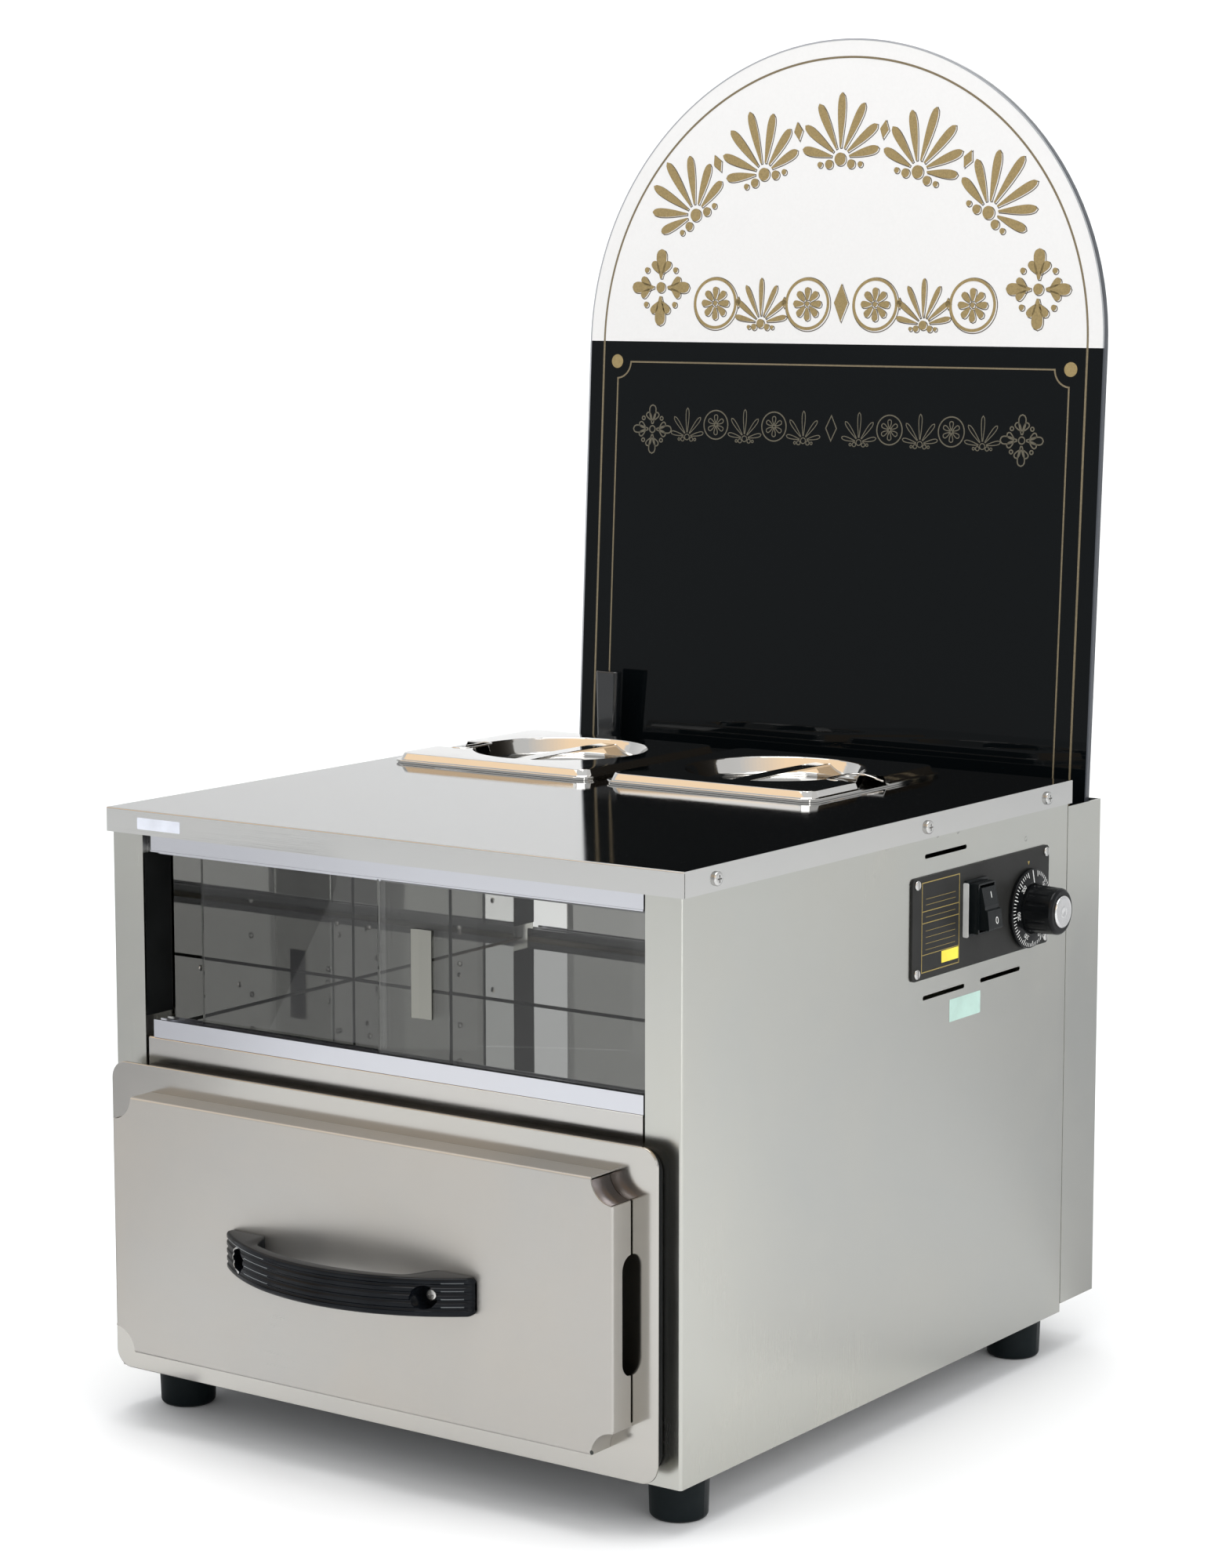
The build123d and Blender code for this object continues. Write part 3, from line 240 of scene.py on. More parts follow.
MATS = {}
MATS["polished_steel"] = sheet_metal("polished_steel", (0.53, 0.53, 0.52), 0.055, "x", 0.008, 0.015, 0.02, 2600.0, 0.04, 0.72)
MATS["satin_steel"] = sheet_metal("satin_steel", (0.505, 0.51, 0.48), 0.24, "z", 0.02, 0.03, 0.04, 2600.0, 0.06, 0.8)
MATS["skin_steel"] = sheet_metal("skin_steel", (0.452, 0.442, 0.422), 0.34, "x", 0.02, 0.05, 0.075, 2600.0, 0.06, 0.8)
MATS["skin_steel"].node_tree.nodes["Principled BSDF"].inputs["Metallic"].default_value = 0.76
MATS["plate_steel"] = sheet_metal("plate_steel", (0.48, 0.47, 0.445), 0.14, "x", 0.015, 0.03, 0.035, 2600.0, 0.04, 0.8)
def mirror_sheet(name, color):
    """Bright annealed sheet: a near mirror with slow waves and faint cleaning haze."""
    m = Mat(name, color, 1.0, 0.01)
    m.set("Specular Tint", (0.85, 0.85, 0.85, 1.0))
    cloud = m.noise(m.pos((1, 1, 1)), 9.0, 4.0, 0.6, 0.3)
    m.to(m.span(cloud, 0.4, 0.8, 0.006, 0.03), "Roughness")
    m.to(m.mix(m.span(cloud, 0.3, 0.7), tuple(c * 0.96 for c in color), color), "Base Color")
    slow = m.noise(m.pos((1, 1, 1), (0.4, 2.2, 0.1)), 5.0, 1.0, 0.4)
    m.to(m.bump(slow, 0.05, 0.004), "Normal")
    return m.m


MATS["mirror_steel"] = mirror_sheet("mirror_steel", (0.70, 0.70, 0.69))
MATS["pressed_steel"] = sheet_metal("pressed_steel", (0.70, 0.69, 0.67), 0.06, "x", 0.01, 0.02, 0.02, 2600.0, 0.0, 0.85)
MATS["track_aluminium"] = sheet_metal("track_aluminium", (0.60, 0.61, 0.65), 0.2, "x", 0.02, 0.02, 0.02)
MATS["sill_steel"] = sheet_metal("sill_steel", (0.52, 0.51, 0.49), 0.18, "x", 0.02, 0.03, 0.03)
MATS["pull_steel"] = sheet_metal("pull_steel", (0.26, 0.26, 0.235), 0.2, "z", 0.02, 0.02, 0.03)
MATS["zinc_steel"] = sheet_metal("zinc_steel", (0.42, 0.43, 0.44), 0.34, "x", 0.03, 0.06, 0.08)
MATS["oven_steel"] = sheet_metal("oven_steel", (0.42, 0.41, 0.38), 0.30, "y", 0.03, 0.06, 0.12)
MATS["screw_steel"] = sheet_metal("screw_steel", (0.58, 0.58, 0.57), 0.24, "x", 0.02, 0.03, 0.04)
MATS["dial_silver"] = sheet_metal("dial_silver", (0.70, 0.70, 0.70), 0.2, "z", 0.03, 0.02, 0.02)
MATS["thermostat_metal"] = sheet_metal("thermostat_metal", (0.50, 0.50, 0.46), 0.32, "x", 0.03, 0.04, 0.06)
MATS["copper_bulb"] = sheet_metal("copper_bulb", (0.68, 0.36, 0.22), 0.26, "y", 0.03, 0.05, 0.12)
MATS["element_sheath"] = sheet_metal("element_sheath", (0.14, 0.13, 0.12), 0.48, "y", 0.04, 0.08, 0.2)
MATS["knife_steel"] = sheet_metal("knife_steel", (0.66, 0.66, 0.66), 0.1, "x", 0.02, 0.02, 0.02)
MATS["handle_plastic"] = moulded("handle_plastic", (0.0026, 0.0036, 0.0052), 0.11, 0.01, 0.12)
# painted glint: pale colour laid on the handle's rib edges as highlights
MATS["handle_glint"] = moulded("handle_glint", (0.16, 0.175, 0.18), 0.3, 0.0, 0.4)
MATS["gasket_rubber"] = moulded("gasket_rubber", (0.0055, 0.0062, 0.0062), 0.4, 0.05, 0.12)
MATS["control_black"] = moulded("control_black", (0.017, 0.017, 0.016), 0.40, 0.05, 0.12)
MATS["switch_plastic"] = moulded("switch_plastic", (0.0035, 0.005, 0.0055), 0.17, 0.015, 0.16)
MATS["dial_plastic"] = moulded("dial_plastic", (0.003, 0.0035, 0.004), 0.16, 0.02, 0.14)
MATS["gland_plastic"] = moulded("gland_plastic", (0.012, 0.012, 0.013), 0.45, 0.08, 0.4)
MATS["foot_rubber"] = moulded("foot_rubber", (0.0045, 0.0075, 0.0085), 0.36, 0.05, 0.10)
MATS["knife_grip"] = moulded("knife_grip", (0.004, 0.005, 0.006), 0.14, 0.01, 0.5, 0.3)
MATS["ceramic"] = moulded("ceramic", (0.72, 0.68, 0.60), 0.3, 0.03, 0.5)
MATS["insulation"] = moulded("insulation", (0.58, 0.54, 0.42), 0.95, 0.6, 0.2, 0.0, 260.0)


def glass_material():
    m = Mat("glass", (0.86, 0.865, 0.85), 0.0, 0.0)
    m.set("Transmission Weight", 1.0)
    m.set("IOR", 1.45)
    haze = m.noise(m.pos((1, 1, 1)), 11.0, 4.0, 0.6)
    m.to(m.span(haze, 0.5, 0.85, 0.0, 0.012), "Roughness")
    return m.m


MATS["glass"] = glass_material()


def acrylic(name, color, rough, spec=0.5):
    m = Mat(name, color, 0.0, rough)
    m.set("Specular IOR Level", spec)
    cloud = m.noise(m.pos((1, 1, 1)), 3.0, 3.0, 0.5)
    m.to(m.span(cloud, 0.3, 0.75, rough * 0.85, rough * 1.2), "Roughness")
    fine = m.noise(m.pos((1, 1, 1), (0.3, 0.9, 0.1)), 400.0, 2.0, 0.5)
    m.to(m.mix(m.span(fine, 0.3, 0.7), color, tuple(min(1, c * 1.02) for c in color)), "Base Color")
    return m.m


MATS["sign_acrylic"] = acrylic("sign_acrylic", (0.05, 0.055, 0.065), 0.12)
MATS["sign_black"] = acrylic("sign_black", (0.0022, 0.0032, 0.0038), 0.02, 0.12)
MATS["sign_white"] = acrylic("sign_white", (0.755, 0.745, 0.735), 0.18, 0.3)
MATS["sign_edge"] = acrylic("sign_edge", (0.34, 0.35, 0.37), 0.25)


def gold_print(name, color):
    m = Mat(name, color, 0.35, 0.42)
    fleck = m.noise(m.pos((1, 1, 1)), 700.0, 3.0, 0.6)
    m.to(m.mix(m.span(fleck, 0.3, 0.7), tuple(c * 0.82 for c in color), tuple(min(1, c * 1.15) for c in color)), "Base Color")
    m.to(m.span(fleck, 0.3, 0.7, 0.36, 0.5), "Roughness")
    return m.m


MATS["gold_print"] = gold_print("gold_print", (0.31, 0.235, 0.105))
MATS["gold_dull"] = gold_print("gold_dull", (0.19, 0.155, 0.095))
MATS["gold_dark"] = gold_print("gold_dark", (0.105, 0.09, 0.07))
MATS["gold_row"] = gold_print("gold_row", (0.12, 0.11, 0.08))
MATS["white_print"] = moulded("white_print", (0.70, 0.70, 0.68), 0.5, 0.0, 0.4)
MATS["yellow_print"] = moulded("yellow_print", (0.80, 0.62, 0.05), 0.5, 0.0, 0.4)
MATS["sticker_white"] = moulded("sticker_white", (0.60, 0.62, 0.68), 0.45, 0.03, 0.4)
MATS["sticker_mint"] = moulded("sticker_mint", (0.40, 0.56, 0.50), 0.5, 0.03, 0.4)

for sub in frame["record"]["subparts"]:
    node = NODES[sub["node"]]
    mat = MATS[sub["material_slot"]]
    node.data.materials.clear()
    node.data.materials.append(mat)


# ---------------------------------------------------------- mesh helpers --
def add_mesh(name, bm, body, slot, mat=None, smooth=False):
    me = bpy.data.meshes.new(name)
    bmesh.ops.recalc_face_normals(bm, faces=bm.faces)
    bm.to_mesh(me)
    bm.free()
    ob = bpy.data.objects.new(name, me)
    scene.collection.objects.link(ob)
    me.materials.append(mat or MATS[slot])
    if smooth:
        for p in me.polygons:
            p.use_smooth = True
    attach(ob, body)
    return ob


def prism(bm, loop, place, d0, d1):
    """Closed prism over a loop of (u, v) points; place(u, v, d) gives its points."""
    a = [bm.verts.new(place(u, v, d0)) for u, v in loop]
    b = [bm.verts.new(place(u, v, d1)) for u, v in loop]
    n = len(loop)
    bm.faces.new(a)
    bm.faces.new(list(reversed(b)))
    for i in range(n):
        j = (i + 1) % n
        bm.faces.new((a[i], b[i], b[j], a[j]))


def ribbon(bm, pts, width, place, d0, d1, closed=False):
    """Flat line of the given width along (u, v) points, as one closed solid."""
    n = len(pts)
    left, right = [], []
    for i, (u, v) in enumerate(pts):
        if closed:
            p0, p1 = pts[(i - 1) % n], pts[(i + 1) % n]
        else:
            p0, p1 = pts[max(i - 1, 0)], pts[min(i + 1, n - 1)]
        a = Vector((u - p0[0], v - p0[1]))
        b = Vector((p1[0] - u, p1[1] - v))
        if a.length < 1e-9:
            a = b.copy()
        if b.length < 1e-9:
            b = a.copy()
        a.normalize()
        b.normalize()
        t = (a + b).normalized()
        k = 1.0 / max(0.5, math.sqrt(max(0.0, (1 + a.dot(b)) / 2)))
        nx, ny = -t.y * width / 2 * k, t.x * width / 2 * k
        left.append((u + nx, v + ny))
        right.append((u - nx, v - ny))
    rows = [[bm.verts.new(place(u, v, d)) for u, v in side] for side, d in
            ((left, d0), (left, d1), (right, d1), (right, d0))]
    m = n if closed else n - 1
    for i in range(m):
        j = (i + 1) % n
        for r in range(4):
            s = (r + 1) % 4
            bm.faces.new((rows[r][i], rows[r][j], rows[s][j], rows[s][i]))
    if not closed:
        bm.faces.new([rows[r][0] for r in range(4)])
        bm.faces.new([rows[r][-1] for r in (3, 2, 1, 0)])


def arc(cx, cy, r, a0, a1, n):
    return [(cx + r * math.cos(math.radians(a0 + (a1 - a0) * i / n)),
             cy + r * math.sin(math.radians(a0 + (a1 - a0) * i / n))) for i in range(n + 1)]


# ------------------------------------------------------------ the board --
HALF, SQ = 239.0, 437.4


def board():
    # printed faces
    bm = bmesh.new()
    prism(bm, [(-HALF + 1.1, 1.0), (HALF - 1.1, 1.0), (HALF - 1.1, SQ), (-HALF + 1.1, SQ)], S, 0.02, 0.14)
    add_mesh("sign_black_face", bm, "sign", "sign_acrylic", MATS["sign_black"])
    bm = bmesh.new()
    prism(bm, arc(0, SQ, HALF - 1.1, 0, 180, 120), S, 0.02, 0.14)
    add_mesh("sign_white_arch", bm, "sign", "sign_acrylic", MATS["sign_white"])
    # sawn edges: a pale line down the left of the black part and a grey one round the arch
    bm = bmesh.new()
    ribbon(bm, [(-HALF + 0.75, 1.0), (-HALF + 0.75, SQ)], 1.3, S, 0.10, 0.22)
    add_mesh("sign_edge_left", bm, "sign", "sign_acrylic", MATS["sign_edge"])
    bm = bmesh.new()
    ribbon(bm, arc(0, SQ, HALF - 0.9, 0, 180, 140), 1.2, S, 0.10, 0.22)
    add_mesh("sign_edge_arch", bm, "sign", "sign_acrylic", MATS["sign_edge"])
    # long outer line
    r = HALF - 14.5
    pts = [(r, 2.0), (r, SQ)] + arc(0, SQ, r, 0, 180, 140)[1:-1] + [(-r, SQ), (-r, 2.0)]
    bm = bmesh.new()
    ribbon(bm, pts, 1.7, S, 0.12, 0.26)
    add_mesh("sign_outer_line", bm, "sign", "sign_acrylic", MATS["gold_dull"])
    # inner frame with scooped corners round the dots
    xi, top, R = HALF - 29.0, SQ - 16.8, 13.7
    cx, cy = HALF - 28.0, SQ - 16.5
    right = []
    for k in range(13):
        a = math.radians(180 + 90 * k / 12)
        right.append((cx + R * math.cos(a), cy + R * math.sin(a)))
    right[0] = (right[0][0], top)
    right[-1] = (xi, right[-1][1])
    pts = [(-u, v) for u, v in reversed(right)] + right
    pts = [(-xi, 2.0)] + pts + [(xi, 2.0)]
    bm = bmesh.new()
    ribbon(bm, pts, 1.3, S, 0.12, 0.26)
    add_mesh("sign_inner_line", bm, "sign", "sign_acrylic", MATS["gold_dull"])
    bm = bmesh.new()
    for s in (-1, 1):
        prism(bm, arc(s * cx, cy, 5.6, 0, 360, 40)[:-1], S, 0.12, 0.28)
    add_mesh("sign_dots", bm, "sign", "sign_acrylic", MATS["gold_print"])


def turned(pts, cx, cy, deg):
    c, s = math.cos(math.radians(deg)), math.sin(math.radians(deg))
    return [(cx + x * c - y * s, cy + x * s + y * c) for x, y in pts]


def leaf(length, width, belly=0.42, n=12, base=0.0):
    """Pointed leaf along +y from (0, base): its fullest part sits at the given share of the length."""
    right = []
    for i in range(1, n):
        t = i / n
        k = t ** (math.log(0.5) / math.log(belly))
        right.append((width / 2 * math.sin(math.pi * k) ** 0.85, base + length * t))
    return [(0.0, base)] + right + [(0.0, base + length)] + [(-x, y) for x, y in reversed(right)]


def petal(length, width, base=0.0, foot=0.2, n=18):
    """Round-ended petal along +y from (0, base): narrow at its foot and full near its tip."""
    right = []
    for i in range(n + 1):
        t = i / n
        if t < 0.74:
            hw = width / 2 * (foot + (1 - foot) * math.sin(math.pi / 2 * t / 0.74) ** 1.1)
        else:
            hw = width / 2 * math.sqrt(max(0.0, 1 - ((t - 0.74) / 0.26) ** 2))
        right.append((hw, base + length * t))
    right[-1] = (0.0, base + length)
    return right + [(-x, y) for x, y in reversed(right[:-1])]


def palmette(h, w, leaves=7):
    """Loops of a traditional shell palmette about its own foot: round petals fanned over a small scrolled base."""
    loops, spread = [], 78.0
    for i in range(leaves):
        k = (i - (leaves - 1) / 2) / ((leaves - 1) / 2)
        ln = h * 0.72 * (1.0 - 0.36 * abs(k) ** 1.3)
        loops.append(turned(petal(ln, w * 0.118, h * 0.14), 0.0, h * 0.12, -k * spread))
    loops.append([(x, y + h * 0.11) for x, y in arc(0, 0, h * 0.085, 0, 360, 24)[:-1]])
    for s in (-1, 1):
        loops.append([(x + s * w * 0.17, y + h * 0.045) for x, y in arc(0, 0, h * 0.06, 0, 360, 20)[:-1]])
        loops.append([(x + s * w * 0.31, y + h * 0.04) for x, y in arc(0, 0, h * 0.038, 0, 360, 16)[:-1]])
    return loops


def fleuron(h, w):
    """Four trefoils crossed about a middle disc, with a small bead in each quarter."""
    loops = []
    for a in (0, 90, 180, 270):
        size = h if a % 180 == 0 else w
        loops.append(turned(petal(size * 0.36, size * 0.15, size * 0.11), 0, 0, a))
        for side in (-38, 38):
            loops.append(turned(petal(size * 0.18, size * 0.095, size * 0.03), *turned([(0.0, size * 0.15)], 0, 0, a)[0], a + side))
    for a in (45, 135, 225, 315):
        loops.append([(x, y) for x, y in turned(arc(0, h * 0.30, h * 0.035, 0, 360, 16)[:-1], 0, 0, a)])
    loops.append(arc(0, 0, h * 0.065, 0, 360, 20)[:-1])
    return loops


def lozenge(h, w):
    return [[(0, -h / 2), (w / 2, 0), (0, h / 2), (-w / 2, 0)]]


def wheel(r, petals=8):
    """Petals inside a ring; the ring itself is drawn as a line."""
    return [turned(petal(r * 0.56, r * 0.30, r * 0.18, 0.3, 12), 0, 0, 360.0 * i / petals) for i in range(petals)] + [
        arc(0, 0, r * 0.11, 0, 360, 12)[:-1]]


def motif(fills, lines, loops, cx, cy, deg, grow=1.0, line=0.8, shade=1.0, outline_only=False):
    """One motif on the board: solid gold loops with a thin darker line offset to one side."""
    for loop in loops:
        pts = turned([(x * grow, y * grow) for x, y in loop], cx, cy, deg)
        if outline_only:
            ribbon(fills, pts, line, S, 0.12, 0.24, closed=True)
        else:
            prism(fills, pts, S, 0.12, 0.26)
            ribbon(lines, [(x + shade, y - shade * 0.7) for x, y in pts], line, S, 0.10, 0.20, closed=True)


def ornament():
    """Traditional gold show-board ornament: palmettes round the arch, rosettes and lozenges across."""
    fills, lines = bmesh.new(), bmesh.new()
    # five palmettes on the arc with lozenges between them
    for i in range(5):
        a = 35.0 - 17.5 * i
        th = math.radians(90 + a)
        r = 230.0
        motif(fills, lines, palmette(60.0, 60.0, 7), -2.0 + r * math.cos(th), 346 + r * math.sin(th), a)
    for i in range(4):
        a = 26.25 - 17.5 * i
        th = math.radians(90 + a)
        r = 262.0
        motif(fills, lines, lozenge(15.0, 8.0), -2.0 + r * math.cos(th), 346 + r * math.sin(th), a, shade=1.1)
    # row on the white: large ends, wheels and rosettes between
    for u in (-170.0, 180.0):
        motif(fills, lines, fleuron(66.0, 60.0), u, 481.5, 0)
    for k, u in enumerate((-116.0, -72.0, -28.0, 28.0 + 7.0, 72.0 + 7.0, 116.0 + 7.0)):
        if k % 2 == 0 and u < 0 or k % 2 == 1 and u > 0:
            motif(fills, lines, wheel(18.0), u, 469.0, 0)
            ribbon(fills, arc(u, 469.0, 19.6, 0, 360, 64)[:-1], 2.4, S, 0.12, 0.26, closed=True)
            ribbon(lines, arc(u + 0.8, 468.4, 21.3, 0, 360, 64)[:-1], 0.8, S, 0.10, 0.20, closed=True)
        else:
            motif(fills, lines, palmette(42.0, 36.0, 7), u, 448.5, 0)
    motif(fills, lines, lozenge(30.0, 13.0), 3.5, 470.0, 0)
    for u in (-94.0, -50.0, 57.0, 101.0):
        motif(fills, lines, lozenge(9.0, 5.0), u, 470.0, 0, shade=0.9)
    add_mesh("sign_ornament_gold", fills, "sign", "sign_acrylic", MATS["gold_print"])
    add_mesh("sign_ornament_shade", lines, "sign", "sign_acrylic", MATS["gold_dark"])
    # lighter row on the black, drawn in line only, with larger ends
    fills, lines = bmesh.new(), bmesh.new()
    for u in (-174.0, 171.0):
        motif(fills, lines, fleuron(42.0, 40.0), u, 366.0, 0, line=1.0, outline_only=True)
    for k in range(5):
        for s in (-1, 1):
            u = -1.5 + s * (26.0 + 28.0 * k)
            if k % 2 == 0:
                motif(fills, lines, palmette(27.0, 25.0, 5), u, 357.5, 0, line=0.7, outline_only=True)
            else:
                ribbon(fills, arc(u, 371.0, 11.6, 0, 360, 40)[:-1], 1.0, S, 0.12, 0.24, closed=True)
                motif(fills, lines, wheel(11.0, 6), u, 371.0, 0, line=0.75, outline_only=True)
    motif(fills, lines, lozenge(20.0, 10.0), -1.5, 371.0, 0, line=0.9, outline_only=True)
    lines.free()
    add_mesh("sign_row_lines", fills, "sign", "sign_acrylic", MATS["gold_row"])


ornament()


board()


# --------------------------------------------------------- control panel --
PANEL_X = 249.0
DIAL_Y, DIAL_Z = 457.0, 356.4
ROCK_Z = 369.0


def on_panel(y, z, d):
    return P(PANEL_X + d, y, z)


def rect(y0, z0, y1, z1, r=0.0, n=5):
    if not r:
        return [(y0, z0), (y1, z0), (y1, z1), (y0, z1)]
    pts = []
    for cx, cy, a in ((y1 - r, z1 - r, 0), (y0 + r, z1 - r, 90), (y0 + r, z0 + r, 180), (y1 - r, z0 + r, 270)):
        pts += arc(cx, cy, r, a, a + 90, n)
    return pts


def lathe(bm, profile, n, place):
    """Turned shape about an axis: profile of (radius, height); place(u, v, height) gives its points."""
    rings = []
    for r, h in profile:
        if r < 1e-6:
            rings.append([bm.verts.new(place(0.0, 0.0, h))])
        else:
            rings.append([bm.verts.new(place(r * math.cos(2 * math.pi * i / n), r * math.sin(2 * math.pi * i / n), h)) for i in range(n)])
    for a, b in zip(rings, rings[1:]):
        if len(a) == 1 and len(b) == 1:
            continue
        for i in range(n):
            j = (i + 1) % n
            if len(a) == 1:
                bm.faces.new((a[0], b[j], b[i]))
            elif len(b) == 1:
                bm.faces.new((a[i], a[j], b[0]))
            else:
                bm.faces.new((a[i], a[j], b[j], b[i]))


STROKES = {
    "0": [[(0, 1), (0, 4), (1, 5), (2, 5), (3, 4), (3, 1), (2, 0), (1, 0), (0, 1)]],
    "1": [[(0.6, 4), (1.7, 5), (1.7, 0)]],
    "2": [[(0, 4.2), (0.8, 5), (2.2, 5), (3, 4.2), (3, 3.2), (0, 0), (3, 0)]],
    "3": [[(0, 5), (3, 5), (1.4, 3), (2.4, 2.9), (3, 2.1), (3, 0.9), (2.2, 0), (0.8, 0), (0, 0.7)]],
    "5": [[(3, 5), (0.2, 5), (0, 2.8), (1.8, 3), (3, 2.2), (3, 0.9), (2.1, 0), (0.8, 0), (0, 0.6)]],
}


def digits(bm, text, cx, cy, deg, size, line, place, d0, d1):
    """Plain numerals drawn as flat strokes, centred on (cx, cy) and turned about it."""
    step = size * 0.82
    start = -step * (len(text) - 1) / 2
    for k, ch in enumerate(text):
        for stroke in STROKES[ch]:
            pts = [((x - 1.5) * size / 5 + start + k * step, (y - 2.5) * size / 5) for x, y in stroke]
            ribbon(bm, turned(pts, cx, cy, deg), line, place, d0, d1)


def controls():
    # printed gold frame with its dividers, left bare, and a blank yellow field
    bm = bmesh.new()
    ribbon(bm, rect(302.5, 331.4, 355.0, 396.0), 0.7, on_panel, 0.02, 0.10, closed=True)
    for z in (375.3, 366.8):
        ribbon(bm, [(302.5, z), (355.0, z)], 0.6, on_panel, 0.02, 0.10)
    ribbon(bm, [(302.5, 343.9), (355.0, 343.9)], 0.5, on_panel, 0.02, 0.10)
    for z in (384.0, 379.8, 371.0, 361.0, 356.4, 351.8, 347.4):
        ribbon(bm, [(308.0, z), (349.5, z)], 0.28, on_panel, 0.02, 0.08)
    add_mesh("control_print_gold", bm, "casing", "control_black", MATS["panel_gold"])
    bm = bmesh.new()
    prism(bm, rect(330.4, 334.6, 354.2, 343.2, 0.3), on_panel, 0.03, 0.14)
    add_mesh("control_print_yellow", bm, "casing", "control_black", MATS["yellow_print"])
    # small plain index triangle above the dial
    bm = bmesh.new()
    prism(bm, [(455.4, 391.6), (458.6, 391.6), (457.0, 388.6)], on_panel, 0.03, 0.12)
    add_mesh("control_print_index", bm, "casing", "control_black", MATS["panel_gold"])
    # bright moulded rim on the near side of the switch bezel
    bm = bmesh.new()
    prism(bm, rect(249.05, 348.6, 253.4, 388.4, 1.0), lambda u, v, d: P(u, 361.15 - d, v), 0.0, 0.7)
    add_mesh("switch_bezel_rim", bm, "casing", "switch_plastic", MATS["bezel_silver"])
    # I and O on the rocker
    def upper(y, z, d):
        return P(259.6 + (ROCK_Z + 15.4 - z) / 13.4 * 3.0 + d, y, z)

    def lower(y, z, d):
        return P(264.8 + (ROCK_Z - 1.2 - z) / 14.0 * 1.6 + d, y, z)

    bm = bmesh.new()
    ribbon(bm, [(380.4, 376.3), (380.4, 380.7)], 0.75, upper, 0.03, 0.10)
    ribbon(bm, [(381.0 + 1.5 * math.cos(math.radians(a)), 360.0 + 2.3 * math.sin(math.radians(a))) for a in range(0, 360, 15)],
           0.6, lower, 0.03, 0.10, closed=True)
    add_mesh("rocker_marks", bm, "rocker", "switch_plastic", MATS["white_print"])
    # dial: low cone with tick marks, plain numbers and a long index line
    def cone(u, v, d):
        r = math.hypot(u, v)
        x = 252.66 + max(0.0, min(1.0, (28.9 - r) / 9.0)) * 1.5
        return P(x + d, DIAL_Y + u, DIAL_Z + v)

    bm = bmesh.new()
    lathe(bm, [(29.0, -0.05), (28.9, 0.0), (27.0, 0.0), (24.0, 0.0), (21.0, 0.0), (19.4, 0.0), (17.6, -0.6), (17.6, -0.9), (29.0, -0.9), (29.0, -0.05)], 96,
          lambda u, v, h: cone(u, v, h))
    bmesh.ops.remove_doubles(bm, verts=bm.verts, dist=1e-7)
    add_mesh("dial_cone", bm, "knob", "dial_plastic", None, True)
    bm = bmesh.new()
    for k in range(61):
        a = math.radians(90 - 15 - 330 * k / 60)
        r0, w = (24.4, 0.7) if k % 5 == 0 else (25.9, 0.55)
        ribbon(bm, [(r0 * math.cos(a), r0 * math.sin(a)), (28.6 * math.cos(a), 28.6 * math.sin(a))], w, cone, 0.03, 0.12)
    ribbon(bm, [(0.0, 19.6), (0.0, 28.8)], 1.1, cone, 0.03, 0.12)
    for k, text in enumerate(("50", "100", "150", "200", "250", "300")):
        a = 90 - 42.5 - 55 * k
        r = 22.1
        digits(bm, text, r * math.cos(math.radians(a)), r * math.sin(math.radians(a)), a - 90, 2.7, 0.36, cone, 0.03, 0.12)
    add_mesh("dial_print", bm, "knob", "dial_plastic", MATS["white_print"])
    # spun cap
    prof = [(0.0, 276.7), (12.05, 276.7), (12.05, 278.3), (11.9, 278.8), (11.5, 279.2), (11.0, 279.42), (10.6, 279.45)]
    r = 10.6
    while r > 4.4:
        r -= 0.31
        prof.append((r, 279.30 + 0.035 * math.cos(r / 0.31 * math.pi)))
    prof += [(4.0, 279.20), (3.6, 279.16), (2.0, 279.26), (0.8, 279.38), (0.0, 279.42)]
    bm = bmesh.new()
    lathe(bm, prof, 96, lambda u, v, h: P(h, DIAL_Y + u, DIAL_Z + v))
    ob = add_mesh("dial_cap_spun", bm, "knob", "dial_silver", None, True)
    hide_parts("dial_cap")
    # blank stickers
    bm = bmesh.new()
    prism(bm, rect(-221.0, 431.6, -180.5, 440.0, 0.6), lambda u, v, d: P(u, -d, v), 0.02, 0.14)
    add_mesh("sticker_front", bm, "casing", "polished_steel", MATS["sticker_white"])
    side_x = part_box("control_plate")[0].x * 1000.0 - CX
    bm = bmesh.new()
    prism(bm, rect(345.3, 288.6, 389.7, 305.0, 0.6), lambda u, v, d: P(side_x + d, u, v), 0.02, 0.14)
    add_mesh("sticker_side", bm, "casing", "satin_steel", MATS["sticker_mint"])
    # shallow spot-weld dimples under the slot
    bm = bmesh.new()
    for y, z in ((354.6, 427.0), (325.7, 427.8), (455.0, 396.5 + 12)):
        lathe(bm, [(0.0, 0.0), (1.9, 0.0), (1.5, 0.10), (0.9, 0.16), (0.0, 0.18)], 24, lambda u, v, h: P(side_x + h, y + u, z + v))
    add_mesh("side_weld_marks", bm, "casing", "satin_steel", None, True)


MATS["panel_gold"] = gold_print("panel_gold", (0.36, 0.27, 0.075))
MATS["bezel_silver"] = moulded("bezel_silver", (0.50, 0.50, 0.49), 0.3, 0.1, 0.5)
# dark colour of the liner's joints, also used as painted shade for a small hole on the drawer skin
MATS["dark_seams_and_hole_shade"] = moulded("dark_seams_and_hole_shade", (0.030, 0.033, 0.030), 0.5, 0.03, 0.2)
MATS["pane_edge"] = moulded("pane_edge", (0.035, 0.040, 0.036), 0.2, 0.0, 0.3)
controls()


